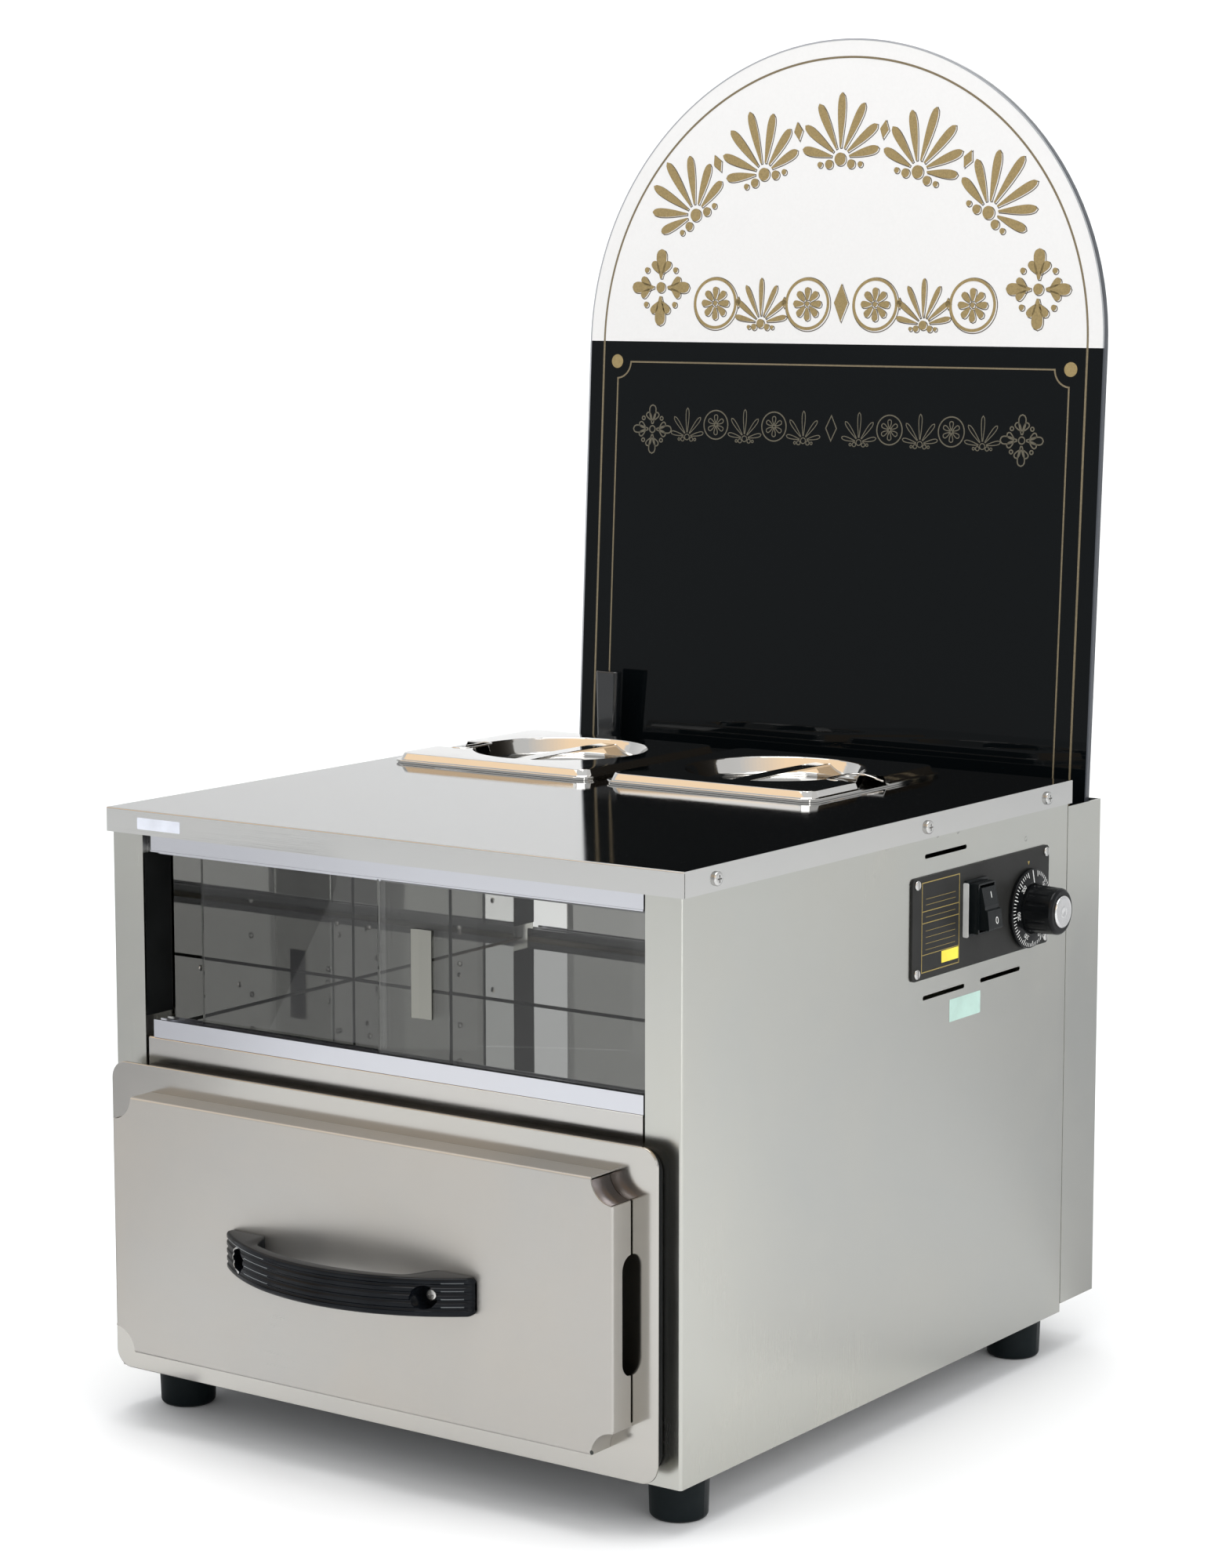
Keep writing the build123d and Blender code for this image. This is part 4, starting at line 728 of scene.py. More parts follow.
# ------------------------------------------------------------------ lids --
def rr(half_x, half_y, r, n=12):
    """Rounded rectangle about the origin with 4(n+1) points, corners in step for lofting."""
    r = min(r, half_x - 1e-4, half_y - 1e-4)
    pts = []
    for sx, sy, a in ((1, 1, 0), (-1, 1, 90), (-1, -1, 180), (1, -1, 270)):
        pts += arc(sx * (half_x - r), sy * (half_y - r), r, a, a + 90, n)
    return pts


LID_HALF, LID_RISE, DISH_W, DISH_R, DISH_DY = 94.0, 452.8, 138.0, 62.0, 3.0


def lid(name, node, body, px, notch_side, notch_y):
    """Pressed lid with rolled rim, raised frame, round dish and a notch, as one smooth shell."""
    py = 397.0
    n = 40
    top = []  # rings of (x, y, z), outer to inner

    def ring(half, r, z, dy=0.0):
        top.append([(px + x, py + dy + y, z) for x, y in rr(half, half, r, n)])

    rise = LID_RISE - 447.8
    slope = math.tan(math.radians(24))
    ring(LID_HALF, 13.0, 446.62)
    ring(LID_HALF, 13.0, 447.3)
    ring(LID_HALF - 0.2, 12.8, 447.62)
    ring(LID_HALF - 0.6, 12.4, 447.8)
    ring(91.6, 11.6, 447.8)
    ring(91.1, 11.1, 447.9)
    ring(90.9 - 0.2 * slope, 10.9, 448.2)
    foot = 91.0 - (rise - 0.9) * slope
    ring(foot, 10.5, LID_RISE - 0.9)
    ring(foot - 0.35, 10.3, LID_RISE - 0.35)
    ring(foot - 0.9, 10.0, LID_RISE - 0.06)
    ring(foot - 1.6, 9.8, LID_RISE)
    half = DISH_W / 2
    ring(half + 1.6, half + 1.6, LID_RISE, DISH_DY)
    ring(half + 0.6, half + 0.6, LID_RISE, DISH_DY)
    ring(half + 0.1, half + 0.1, LID_RISE - 0.10, DISH_DY)
    ring(half - 0.3, half - 0.3, LID_RISE - 0.38, DISH_DY)
    ring(half - 0.6, half - 0.6, LID_RISE - 0.8, DISH_DY)
    depth = 13.6
    tan22 = math.tan(math.radians(22))
    for k in range(1, 9):
        t = k / 8
        z = 0.9 + (depth - 3.0 - 0.9) * t
        ring(half - 0.75 - (z - 0.9) * tan22, half, LID_RISE - z, DISH_DY)
    base = half - 0.75 - (depth - 3.9) * tan22
    for k in range(1, 13):
        a = math.radians(68 * k / 12)
        ring(base - 4.6 * (1 - math.cos(a)) - 1.2 * math.sin(a), half, LID_RISE - (depth - 3.0) - 2.9 * math.sin(a) / math.sin(math.radians(68)), DISH_DY)
    floor_z = LID_RISE - depth
    last = base - 8.5
    ring(last, half, floor_z + 0.02, DISH_DY)
    ring(last * 0.6, half, floor_z + 0.12, DISH_DY)
    bm = bmesh.new()
    t_rows = [[bm.verts.new(P(*c)) for c in r] for r in top]
    under = [top[0]] + [[(x, y, z - 1.0) for x, y, z in r] for r in top[4:]]
    b_rows = [t_rows[0]] + [[bm.verts.new(P(*c)) for c in r] for r in under[1:]]
    for rows in (t_rows, b_rows):
        for a, b in zip(rows, rows[1:]):
            m = len(a)
            for i in range(m):
                j = (i + 1) % m
                bm.faces.new((a[i], a[j], b[j], b[i]))
        c = Vector((0, 0, 0))
        for v in rows[-1]:
            c += v.co
        mid = bm.verts.new(c / len(rows[-1]))
        m = len(rows[-1])
        for i in range(m):
            bm.faces.new((rows[-1][i], rows[-1][(i + 1) % m], mid))
    bmesh.ops.recalc_face_normals(bm, faces=bm.faces)
    shell = bpy.data.meshes.new(name + "_raw")
    bm.to_mesh(shell)
    bm.free()
    raw = bpy.data.objects.new(name + "_raw", shell)
    scene.collection.objects.link(raw)
    # cut the ladle notch
    bm = bmesh.new()
    xa, xb = px + notch_side * 61.0, px + notch_side * 99.0
    cx, hx = (xa + xb) / 2, abs(xb - xa) / 2
    loop = [(cx + x, notch_y + y) for x, y in rr(hx, 20.0, 8.0, 10)]
    prism(bm, loop, lambda u, v, d: P(u, v, d), 443.5, 462.0)
    bmesh.ops.recalc_face_normals(bm, faces=bm.faces)
    cut_me = bpy.data.meshes.new(name + "_cut")
    bm.to_mesh(cut_me)
    bm.free()
    cut = bpy.data.objects.new(name + "_cut", cut_me)
    scene.collection.objects.link(cut)
    mod = raw.modifiers.new("notch", "BOOLEAN")
    mod.operation = "DIFFERENCE"
    mod.object = cut
    mod.solver = "EXACT"
    bpy.context.view_layer.update()
    dg = bpy.context.evaluated_depsgraph_get()
    done = bpy.data.meshes.new_from_object(raw.evaluated_get(dg))
    bm = bmesh.new()
    bm.from_mesh(done)
    for o in (raw, cut):
        me = o.data
        bpy.data.objects.remove(o)
        bpy.data.meshes.remove(me)
    bpy.data.meshes.remove(done)
    for f in bm.faces:
        f.smooth = True
    for e in bm.edges:
        if len(e.link_faces) == 2 and e.calc_face_angle(0.0) > math.radians(9.5):
            e.smooth = False
    ob = add_mesh(name, bm, body, "pressed_steel")
    # turned bead round the notch
    bm = bmesh.new()
    path = [(px + notch_side * x, notch_y + y) for x, y in
            [(89.0, -20.0), (72.0, -20.0)] + [(69.0 - 8 * math.sin(math.radians(a)), -12.0 - 8 * math.cos(math.radians(a))) for a in range(0, 91, 15)]
            + [(61.0, 0.0)] + [(69.0 - 8 * math.cos(math.radians(a)), 12.0 + 8 * math.sin(math.radians(a))) for a in range(0, 91, 15)]
            + [(72.0, 20.0), (89.0, 20.0)]]
    rows = []
    for i, (x, y) in enumerate(path):
        a, b = path[max(0, i - 1)], path[min(len(path) - 1, i + 1)]
        t = Vector((b[0] - a[0], b[1] - a[1])).normalized()
        nx, ny = -t.y, t.x
        edge = max(abs(x - px), abs(y - 397.0))
        z = LID_RISE - 0.1 if edge < foot - 2 else max(448.0, LID_RISE - 0.1 - (edge - foot + 2) / slope * 0.9)
        rows.append([bm.verts.new(P(x + nx * 0.7 * math.cos(q), y + ny * 0.7 * math.cos(q), z + 0.7 * math.sin(q))) for q in
                     [2 * math.pi * k / 10 for k in range(10)]])
    for a, b in zip(rows, rows[1:]):
        for k in range(10):
            j = (k + 1) % 10
            bm.faces.new((a[k], a[j], b[j], b[k]))
    bm.faces.new(rows[0])
    bm.faces.new(list(reversed(rows[-1])))
    add_mesh(name + "_bead", bm, body, "pressed_steel", None, True)
    # grip bar across the dish with softened edges
    bm = bmesh.new()
    hw = 7.0
    sec = [(-hw, 447.7), (-hw, 449.2), (-hw + 0.5, 449.6), (hw - 0.5, 449.6), (hw, 449.2), (hw, 447.7)]
    span = half - 2.5
    cy = py + DISH_DY
    rows = []
    for k in range(25):
        t = -1 + 2 * k / 24
        y = cy + span * t
        lift = 0.55 * math.cos(t * math.pi / 2)
        rows.append([bm.verts.new(P(px + u, y, z + lift)) for u, z in sec])
    for a, b in zip(rows, rows[1:]):
        for k in range(6):
            j = (k + 1) % 6
            bm.faces.new((a[k], a[j], b[j], b[k]))
    bm.faces.new(rows[0])
    bm.faces.new(list(reversed(rows[-1])))
    grip = add_mesh(name + "_grip", bm, body, "pressed_steel")
    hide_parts(node)
    return ob


lid("lid_left_pressed", "pan_lid_left", "left_lid", -139.0, -1, 376.0)
lid("lid_right_pressed", "pan_lid_right", "right_lid", 62.5, 1, 390.0)


# --------------------------------------------------------- display space --
def interior():
    x0, x1, y1, z0, z1 = -216.2, 216.2, 237.0, 285.5, 424.0
    # sealed corner seams of the liner
    bm = bmesh.new()

    def seam(a, b, u, w, leg=1.3):
        pa, pb = Vector(a), Vector(b)
        u, w = Vector(u), Vector(w)
        tri = [Vector((0, 0, 0)), u * leg, u * leg * 0.45 + w * leg * 0.45, w * leg]
        ra = [bm.verts.new(P(*(pa + t))) for t in tri]
        rb = [bm.verts.new(P(*(pb + t))) for t in tri]
        bm.faces.new(ra)
        bm.faces.new(list(reversed(rb)))
        for i in range(4):
            j = (i + 1) % 4
            bm.faces.new((ra[i], rb[i], rb[j], ra[j]))

    e = 0.02
    seam((x0 + 1.4, y1 - e, z0 + e), (x1 - 1.4, y1 - e, z0 + e), (0, -1, 0), (0, 0, 1))
    seam((x0 + 1.4, y1 - e, z1 - e), (x1 - 1.4, y1 - e, z1 - e), (0, -1, 0), (0, 0, -1))
    for x, sx in ((x0 + e, 1), (x1 - e, -1)):
        seam((x, 22.0, z0 + e), (x, y1 - e, z0 + e), (sx, 0, 0), (0, 0, 1))
        seam((x, 22.0, z1 - e), (x, y1 - e, z1 - e), (sx, 0, 0), (0, 0, -1))
        seam((x, y1 - e, z0 + 1.4), (x, y1 - e, z1 - 1.4), (sx, 0, 0), (0, -1, 0))
    add_mesh("display_seams", bm, "casing", "mirror_steel", MATS["dark_seams_and_hole_shade"])
    # rivet heads on the left wall and on the back wall
    bm = bmesh.new()
    dome = [(0.0, 0.0), (2.3, 0.0), (2.2, 0.35), (1.8, 0.75), (1.1, 1.02), (0.0, 1.12)]
    for y, z in ((220.6, 322.7), (208.2, 297.9), (104.2, 302.9), (60.0, 322.0)):
        lathe(bm, dome, 20, lambda u, v, h: P(x0 + e + h, y + u, z + v))
    for x, z in ((-200.5, 327.7), (-190.5, 291.0), (-113.4, 336.7), (-113.0, 309.1), (150.0, 330.0)):
        lathe(bm, dome, 20, lambda u, v, h: P(x + u, y1 - e - h, z + v))
    add_mesh("display_rivets", bm, "casing", "mirror_steel", MATS["screw_steel"], True)
    # painted shade: a black strip on the left jamb for the dark gap between the front frame and the liner
    bm = bmesh.new()
    prism(bm, rect(3.0, 296.0, 30.5, 414.0, 0.8), lambda u, v, d: P(-217.3 + d, u, v), 0.02, 0.12)
    add_mesh("jamb_painted_shade_strip", bm, "casing", "gasket_rubber", MATS["gasket_rubber"])


interior()


def pane_edges():
    lo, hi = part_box("glass_pane_front")
    z0, z1 = lo.z * 1000.0, hi.z * 1000.0
    xa = lo.x * 1000.0 - CX
    bm = bmesh.new()
    prism(bm, rect(6.2, z0 + 0.4, 9.4, z1 - 0.4, 0.3), lambda u, v, d: P(xa - d, u, v), 0.01, 0.07)
    add_mesh("pane_front_edge", bm, "front_pane", "glass", MATS["pane_edge"])
    lo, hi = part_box("glass_pane_rear")
    z0, z1 = lo.z * 1000.0, hi.z * 1000.0
    xb = hi.x * 1000.0 - CX
    bm = bmesh.new()
    prism(bm, rect(13.6, z0 + 0.4, 16.8, z1 - 0.4, 0.3), lambda u, v, d: P(xb + d, u, v), 0.01, 0.07)
    add_mesh("pane_rear_edge", bm, "rear_pane", "glass", MATS["pane_edge"])


pane_edges()


# ---------------------------------------------------------------- handle --
HANDLE_Z, HANDLE_END, HANDLE_TIP = 150.3, 108.0, -80.0


def handle_front(x):
    """y of the handle's bowed front at x."""
    k = (HANDLE_END ** 2 + 40.0 ** 2) / (2 * 40.0)
    return HANDLE_TIP + k - math.sqrt(k * k - x * x)


def handle():
    def rear(x):
        ax = abs(x)
        bow = handle_front(x) + 10.5
        foot = -34.65
        if ax >= 79.0:
            return foot
        if ax <= 60.0:
            return bow
        t = (ax - 60.0) / 19.0
        t = t * t * t * (t * (6 * t - 15) + 10)
        t = t ** 1.6
        return bow + (foot - bow) * t

    stations = [-108.0 + 216.0 * k / 160 for k in range(161)]
    stations = [x for x in stations if abs(x) < 104.4]
    ends = [(108.0 - 3.4 + 3.4 * math.sin(math.radians(q)), 3.4 * (1 - math.cos(math.radians(q)))) for q in range(0, 91, 15)]
    line = [(-x, i) for x, i in reversed(ends)] + [(x, 0.0) for x in stations] + ends
    half = 13.3

    def groove(z):
        g = 0.0
        for k in range(4):
            c = -8.1 + 5.4 * k
            t = abs(z - c) / 1.5
            if t < 1:
                g = max(g, 1.25 * (1 - t * t) ** 0.8)
        return g

    rings = []
    for x, inset in line:
        f, b = handle_front(x) + inset, rear(x)
        h = half - inset
        r = min(2.4, h)
        sec = []
        m = 84
        for i in range(m + 1):
            z = -h + r + (2 * h - 2 * r) * i / m
            sec.append((f + groove(z), z))
        for q in range(10, 91, 10):
            a = math.radians(q)
            sec.append((f + r - r * math.cos(a), h - r + r * math.sin(a)))
        top = b - 1.6
        sec.append((min(f + r + 0.3, top), h))
        sec.append((top, h))
        for q in (30, 60, 90):
            a = math.radians(q)
            sec.append((b - 1.6 + 1.6 * math.sin(a), h - 1.6 + 1.6 * math.cos(a)))
        sec.append((b, 0.0))
        for q in (90, 60, 30):
            a = math.radians(q)
            sec.append((b - 1.6 + 1.6 * math.sin(a), -h + 1.6 - 1.6 * math.cos(a)))
        sec.append((top, -h))
        sec.append((min(f + r + 0.3, top), -h))
        for q in range(90, 9, -10):
            a = math.radians(q)
            sec.append((f + r - r * math.cos(a), -h + r - r * math.sin(a)))
        rings.append([(x, y, z) for y, z in sec])
    bm = bmesh.new()
    rows = [[bm.verts.new(P(x, y, HANDLE_Z + z)) for x, y, z in ring] for ring in rings]
    for a, b in zip(rows, rows[1:]):
        m = len(a)
        for i in range(m):
            j = (i + 1) % m
            bm.faces.new((a[i], a[j], b[j], b[i]))
    bm.faces.new(rows[0])
    bm.faces.new(list(reversed(rows[-1])))
    bmesh.ops.recalc_face_normals(bm, faces=bm.faces)
    me = bpy.data.meshes.new("handle_raw")
    bm.to_mesh(me)
    bm.free()
    raw = bpy.data.objects.new("handle_raw", me)
    scene.collection.objects.link(raw)
    # counterbores for the two screws, each one stepped turned solid
    bm = bmesh.new()
    for sx in (-81.0, 81.0):
        loops = []
        for r, y in ((8.2, -95.0), (8.2, -46.8), (2.7, -46.8), (2.7, -30.0)):
            turn = [math.radians(3.1 + 7.5 * k) for k in range(48)]
            loops.append([bm.verts.new(P(sx + r * math.cos(a), y, HANDLE_Z + r * math.sin(a))) for a in turn])
        for a, b in zip(loops, loops[1:]):
            for k in range(48):
                n = (k + 1) % 48
                bm.faces.new((a[k], a[n], b[n], b[k]))
        bm.faces.new(loops[0])
        bm.faces.new(list(reversed(loops[-1])))
    bmesh.ops.recalc_face_normals(bm, faces=bm.faces)
    cut_me = bpy.data.meshes.new("handle_cut")
    bm.to_mesh(cut_me)
    bm.free()
    cut = bpy.data.objects.new("handle_cut", cut_me)
    scene.collection.objects.link(cut)
    mod = raw.modifiers.new("bores", "BOOLEAN")
    mod.operation = "DIFFERENCE"
    mod.object = cut
    mod.solver = "EXACT"
    bpy.context.view_layer.update()
    dg = bpy.context.evaluated_depsgraph_get()
    done = bpy.data.meshes.new_from_object(raw.evaluated_get(dg))
    bm = bmesh.new()
    bm.from_mesh(done)
    for o in (raw, cut):
        data = o.data
        bpy.data.objects.remove(o)
        bpy.data.meshes.remove(data)
    bpy.data.meshes.remove(done)
    bmesh.ops.remove_doubles(bm, verts=bm.verts, dist=2e-6)
    bmesh.ops.dissolve_degenerate(bm, edges=bm.edges, dist=2e-6)
    for f in bm.faces:
        f.smooth = True
    for e in bm.edges:
        if len(e.link_faces) == 2 and e.calc_face_angle(0.0) > math.radians(40):
            e.smooth = False
    ob = add_mesh("handle_moulded", bm, "drawer", "handle_plastic")
    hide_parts("drawer_handle")
    # painted highlights: pale strips stand for light catching on the rib edges near both ends, and a bright crescent
    # stands for light on the rim of the left bore
    bm = bmesh.new()

    def on_front(u, v, d):
        return P(u, handle_front(u) + groove(v - HANDLE_Z) - d, v)

    for k in range(4):
        z = HANDLE_Z - 8.1 + 5.4 * k + 1.75
        ribbon(bm, [(91.5 + 12.5 * i / 8, z) for i in range(9)], 0.75, on_front, 0.0, 0.10)
        if abs(z - HANDLE_Z) > 9.0:
            ribbon(bm, [(-103.0 + 58.0 * i / 24, z) for i in range(25)], 0.4, on_front, 0.0, 0.08)
        else:
            ribbon(bm, [(-70.5 + 30.0 * i / 14, z) for i in range(15)], 0.4, on_front, 0.0, 0.08)
    add_mesh("handle_rib_painted_glints", bm, "drawer", "handle_plastic", MATS["handle_glint"])
    bm = bmesh.new()
    ribbon(bm, [(-81.0 + 8.6 * math.cos(math.radians(a)), HANDLE_Z + 8.6 * math.sin(math.radians(a))) for a in range(84, 277, 8)],
           1.3, on_front, 0.0, 0.35)
    # painted highlight: a bright crescent on the bore's rim
    add_mesh("handle_bore_painted_highlight", bm, "drawer", "handle_plastic", MATS["handle_bore_highlight_paint"])


def notch_walls():
    lo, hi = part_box("drawer_skin")
    ya, yb = lo.y * 1000.0 - FY + 1.1, hi.y * 1000.0 - FY - 0.2
    bm = bmesh.new()
    for side in (-1, 1):
        outer = arc(side * 218.5, 245.0, 18.25, 180 if side > 0 else 270, 270 if side > 0 else 360, 24)
        inner = arc(side * 218.5, 245.0, 17.6, 180 if side > 0 else 270, 270 if side > 0 else 360, 24)
        keep = [(x, z) for x, z in outer if z < 243.2 and abs(x) < 217.0]
        keep2 = [(x, z) for x, z in inner if z < 243.2 and abs(x) < 217.0]
        prism(bm, keep + list(reversed(keep2)), lambda u, v, d: P(u, d, v), ya, yb)
    for f in bm.faces:
        f.smooth = True
    for e in bm.edges:
        if len(e.link_faces) == 2 and e.calc_face_angle(0.0) > math.radians(30):
            e.smooth = False
    # painted shade: the notch walls get a darkened steel colour for the shade inside the notches
    add_mesh("skin_notch_walls", bm, "drawer", "skin_steel", MATS["notch_painted_shade_steel"])


def gasket():
    """Door gasket: a rounded rubber frame set back a little from the plate's edge, with a sealing lip."""
    lo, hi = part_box("drawer_gasket")
    x0, x1 = lo.x * 1000.0 - CX, hi.x * 1000.0 - CX
    y0, y1 = lo.y * 1000.0 - FY, hi.y * 1000.0 - FY
    z0, z1 = lo.z * 1000.0, hi.z * 1000.0
    cx, cz, hx, hz = (x0 + x1) / 2, (z0 + z1) / 2, (x1 - x0) / 2, (z1 - z0) / 2
    # (inset from the CAD edge, y) round the section
    sec = [(4.6, y0 + 0.05), (4.4, y0 + 1.5), (4.4, y0 + 4.0), (5.2, y0 + 5.0), (5.2, y0 + 6.2), (4.2, y0 + 7.4), (4.0, y1 - 2.2),
           (4.3, y1 - 1.1), (5.0, y1 - 0.4), (6.0, y1 - 0.1), (8.2, y1 - 0.1), (9.2, y1 - 0.4), (9.8, y1 - 1.1), (10.0, y1 - 2.4),
           (9.2, y0 + 6.8), (9.8, y0 + 5.4), (12.2, y0 + 4.6), (12.2, y0 + 0.05)]
    bm = bmesh.new()
    rows = []
    for inset, y in sec:
        loop = rr(hx - inset, hz - inset, max(3.0, 18.0 - inset), 14)
        rows.append([bm.verts.new(P(cx + u, y, cz + v)) for u, v in loop])
    n = len(rows[0])
    for a, b in zip(rows, rows[1:] + rows[:1]):
        for i in range(n):
            j = (i + 1) % n
            bm.faces.new((a[i], a[j], b[j], b[i]))
    for f in bm.faces:
        f.smooth = True
    for e in bm.edges:
        if len(e.link_faces) == 2 and e.calc_face_angle(0.0) > math.radians(50):
            e.smooth = False
    ob = add_mesh("gasket_moulded", bm, "drawer", "gasket_rubber")
    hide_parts("drawer_gasket")
    # painted shade: a dark disc stands for the shade inside a small drain hole at the corner of the lower fold
    bm = bmesh.new()
    prism(bm, arc(201.9, 60.3, 1.5, 0, 360, 20)[:-1], lambda u, v, d: P(u, -34.5 - d, v), 0.01, 0.08)
    add_mesh("skin_corner_hole_painted_shade", bm, "drawer", "skin_steel", MATS["dark_seams_and_hole_shade"])


# painted shade: a darkened copy of the skin steel for the shaded notch walls
MATS["notch_painted_shade_steel"] = sheet_metal("notch_painted_shade_steel", (0.17, 0.155, 0.155), 0.4, "y", 0.03, 0.05, 0.08)
gasket()
# painted highlight: bright colour for the crescent of light on the rim of the left bore
MATS["handle_bore_highlight_paint"] = sheet_metal("handle_bore_highlight_paint", (0.75, 0.75, 0.74), 0.2, "x", 0.02, 0.02, 0.02)
handle()
notch_walls()


# ------------------------------------------------------------ the stage --
def stage():
    me = bpy.data.meshes.new("studio_floor")
    bm = bmesh.new()
    # floor that curves up into a backdrop behind the object
    prof = [(-7.0, 0.0), (2.6, 0.0)]
    for k in range(1, 13):
        a = math.radians(90 * k / 12)
        prof.append((2.6 + 1.6 * math.sin(a), 1.6 - 1.6 * math.cos(a)))
    prof.append((4.2, 7.0))
    az = math.radians(35.406)
    fwd = Vector((-math.sin(az), math.cos(az), 0))
    side = Vector((math.cos(az), math.sin(az), 0))
    rows = []
    for s in (-9.0, 9.0):
        rows.append([bm.verts.new(fwd * d + side * s + Vector((0, 0, z))) for d, z in prof])
    for i in range(len(prof) - 1):
        bm.faces.new((rows[0][i], rows[1][i], rows[1][i + 1], rows[0][i + 1]))
    bm.to_mesh(me)
    bm.free()
    for p in me.polygons:
        p.use_smooth = True
    floor = bpy.data.objects.new("studio_floor", me)
    scene.collection.objects.link(floor)
    m = Mat("studio_paper", (0.90, 0.90, 0.90), 0.0, 0.9)
    m.set("Specular IOR Level", 0.0)
    me.materials.append(m.m)


stage()


def area(name, loc, target, size, energy, color=(1, 1, 1)):
    data = bpy.data.lights.new(name, "AREA")
    data.shape = "RECTANGLE"
    data.size, data.size_y = size
    data.energy = energy
    data.color = color
    ob = bpy.data.objects.new(name, data)
    scene.collection.objects.link(ob)
    ob.location = loc
    ob.rotation_euler = (Vector(target) - Vector(loc)).to_track_quat("-Z", "Y").to_euler()
    return ob


world = bpy.data.worlds.new("world")
scene.world = world
world.use_nodes = True
world.node_tree.nodes["Background"].inputs[0].default_value = (0.97, 0.985, 1.0, 1)
world.node_tree.nodes["Background"].inputs[1].default_value = 0.80

area("key", (-1.9, -2.4, 3.4), (0, 0, 0.3), (2.6, 2.6), 22)
area("strip", (1.45, -1.02, 0.38), (0.2, -0.1, 0.3), (0.22, 0.72), 1.5)
area("fill", (3.4, -0.9, 2.4), (0, 0, 0.4), (2.4, 2.4), 30)
area("top", (0.15, -0.25, 3.2), (0.1, -0.1, 0.0), (2.0, 2.0), 52)
area("back", (-1.6, 2.6, 3.0), (-1.2, 3.2, 0.4), (3.4, 1.6), 36)


def flag(name, bearing, near, far, lateral, height, tone):
    """Grey studio flag that only reflections see: a sheet on the floor that turns up at its far end."""
    d = Vector((math.sin(math.radians(bearing)), math.cos(math.radians(bearing)), 0))
    side = Vector((d.y, -d.x, 0))
    up = Vector((0, 0, 1))
    bm = bmesh.new()
    rows = []
    for out, z in ((near, 0.002), (far, 0.002), (far + 0.05, height)):
        rows.append([bm.verts.new(d * out + side * lat + up * z) for lat in lateral])
    for i in range(len(rows) - 1):
        bm.faces.new((rows[i][0], rows[i][1], rows[i + 1][1], rows[i + 1][0]))
    me = bpy.data.meshes.new(name)
    bm.to_mesh(me)
    bm.free()
    ob = bpy.data.objects.new(name, me)
    scene.collection.objects.link(ob)
    m = Mat(name, (tone, tone, tone * 1.02), 0.0, 0.9)
    m.set("Specular IOR Level", 0.0)
    me.materials.append(m.m)
    ob.visible_camera = False
    ob.visible_diffuse = False
    ob.visible_shadow = False
    ob.visible_transmission = False


def card(name, az0, az1, z0, z1, tone, radius=1.6, seen="transmission"):
    """Studio card round the object, seen only through the glass panes or only in reflections."""
    bm = bmesh.new()
    n = max(1, int(abs(az1 - az0) / 1.5))
    rows = []
    for k in range(n + 1):
        a = math.radians(az0 + (az1 - az0) * k / n)
        rows.append([bm.verts.new(Vector((radius * math.sin(a), -radius * math.cos(a), z))) for z in (z0, z1)])
    for a, b in zip(rows, rows[1:]):
        bm.faces.new((a[0], b[0], b[1], a[1]))
    me = bpy.data.meshes.new(name)
    bm.to_mesh(me)
    bm.free()
    ob = bpy.data.objects.new(name, me)
    scene.collection.objects.link(ob)
    m = Mat(name, (0.0, 0.0, 0.0), 0.0, 1.0)
    m.set("Specular IOR Level", 0.0)
    m.set("Emission Color", (*tone, 1.0))
    m.set("Emission Strength", 1.0)
    m.m.cycles.emission_sampling = "NONE"
    me.materials.append(m.m)
    ob.visible_camera = False
    ob.visible_diffuse = False
    ob.visible_glossy = seen == "glossy"
    ob.visible_transmission = seen == "transmission"
    ob.visible_shadow = False


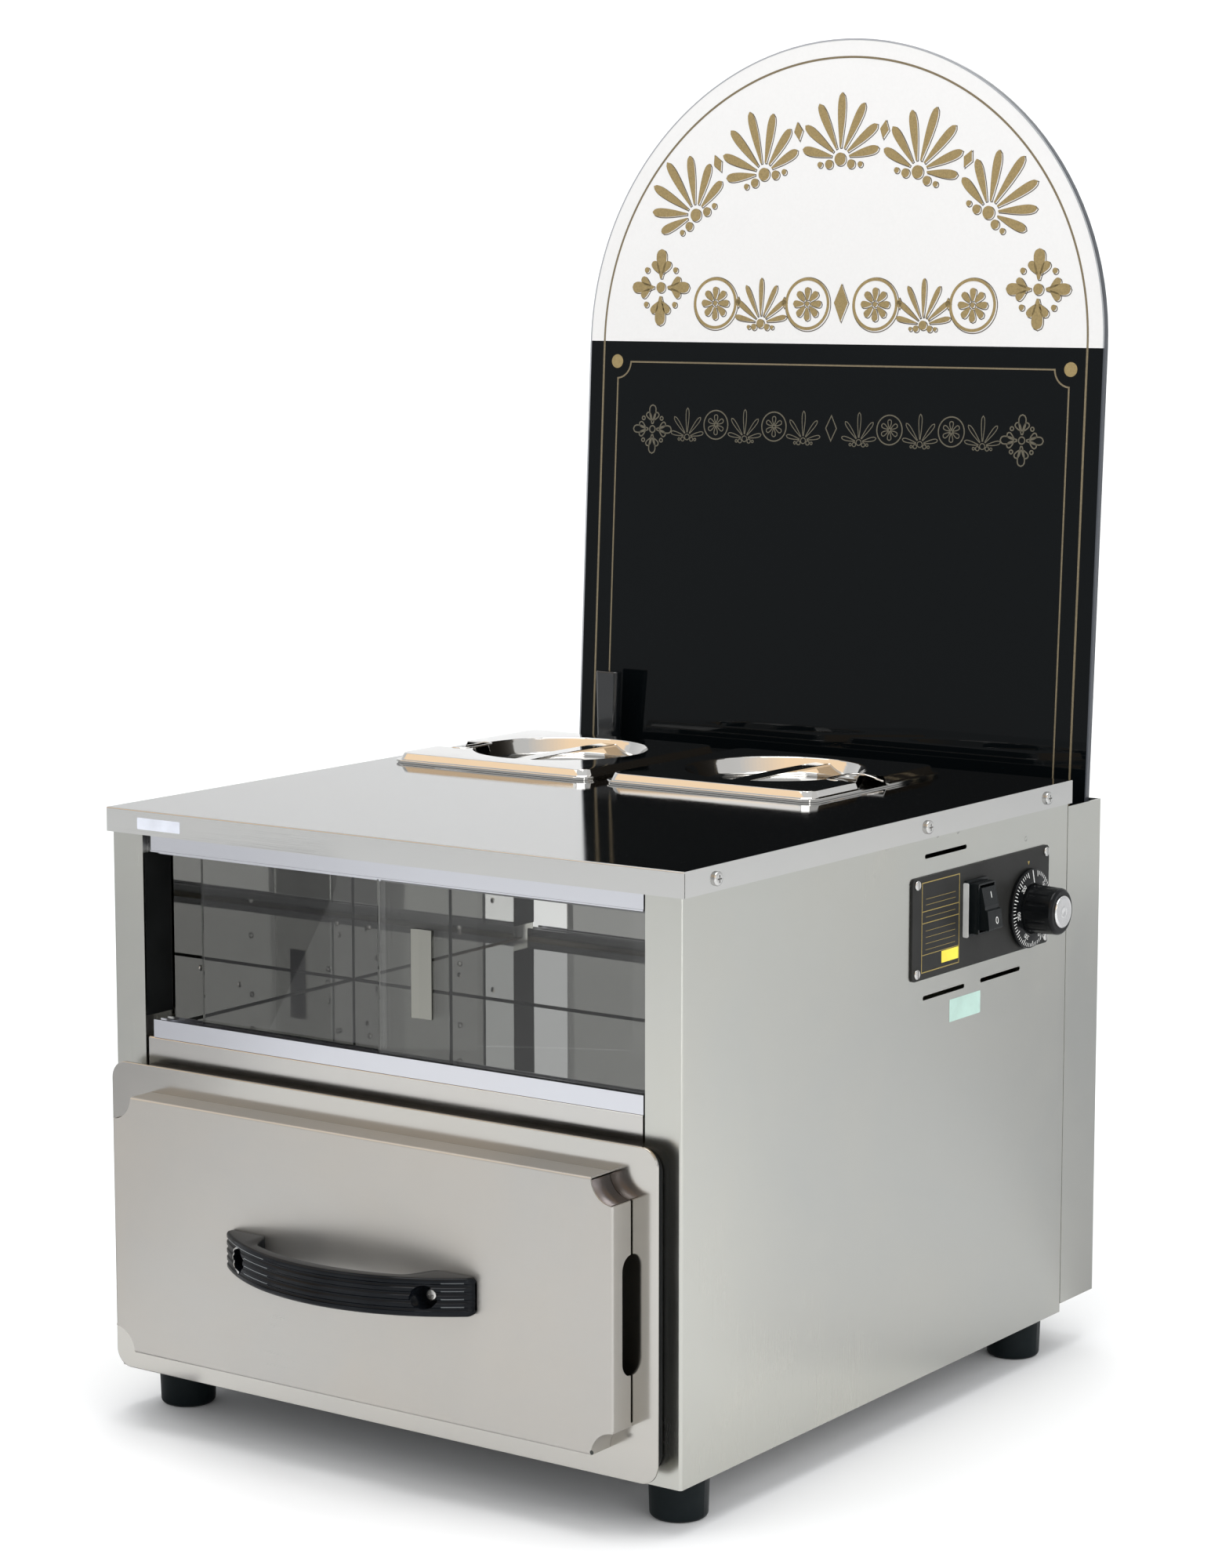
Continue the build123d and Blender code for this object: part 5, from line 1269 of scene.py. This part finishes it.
def ground(name, az0, az1, r0, r1, tone, seen="transmission"):
    """The same, lying on the floor."""
    bm = bmesh.new()
    n = max(1, int(abs(az1 - az0) / 1.5))
    rows = []
    for k in range(n + 1):
        a = math.radians(az0 + (az1 - az0) * k / n)
        rows.append([bm.verts.new(Vector((r * math.sin(a), -r * math.cos(a), 0.004))) for r in (r0, r1)])
    for a, b in zip(rows, rows[1:]):
        bm.faces.new((a[0], a[1], b[1], b[0]))
    me = bpy.data.meshes.new(name)
    bm.to_mesh(me)
    bm.free()
    ob = bpy.data.objects.new(name, me)
    scene.collection.objects.link(ob)
    m = Mat(name, (0.0, 0.0, 0.0), 0.0, 1.0)
    m.set("Specular IOR Level", 0.0)
    m.set("Emission Color", (*tone, 1.0))
    m.set("Emission Strength", 1.0)
    m.m.cycles.emission_sampling = "NONE"
    me.materials.append(m.m)
    ob.visible_camera = False
    ob.visible_diffuse = False
    ob.visible_glossy = seen == "glossy"
    ob.visible_transmission = seen == "transmission"
    ob.visible_shadow = False


# plain neutral flats at an even spacing in front, for the mirror liner to reflect through the glass
card("wall_low", -60.0, 60.0, 0.001, 0.32, (0.13, 0.13, 0.13), 1.62)
card("wall_high", -60.0, 60.0, 0.32, 0.95, (0.32, 0.32, 0.32), 1.62)
ground("wall_mat", -60.0, 60.0, 0.5, 1.6, (0.16, 0.16, 0.16))
for k in range(10):
    card("flat_%02d" % k, -60.0 + 12.0 * k, -54.0 + 12.0 * k, 0.001, 0.95, (0.44, 0.44, 0.44), 1.58)

# one warm reflector high in front and a neutral one beside it, fading into each other evenly
WARM, NEUTRAL = (1.25, 0.95, 0.65), (0.70, 0.70, 0.70)
for k in range(36):
    f = min(1.0, max(0.0, (k - 16.0) / 12.0))
    tone = tuple(p + (q - p) * f for p, q in zip(WARM, NEUTRAL))
    card("sweep_%02d" % k, -80.0 + 6.0 * k, -74.0 + 6.0 * k, 1.55, 3.8, tone, 3.0, "glossy")

flag("flag_right", 35.0, 0.30, 2.2, (-1.5, 0.02), 0.04, 0.50)
flag("flag_left", 215.0, 0.40, 2.6, (0.1, 1.8), 0.04, 0.48)
flag("flag_side", 35.0, 0.30, 1.9, (0.03, 0.30), 0.004, 0.70)
flag("flag_near", 215.0, 0.22, 0.40, (0.0, 1.2), 0.004, 0.42)

scene.view_settings.view_transform = "Standard"
scene.cycles.glossy_bounces = 8
scene.cycles.max_bounces = 14
scene.cycles.transmission_bounces = 12
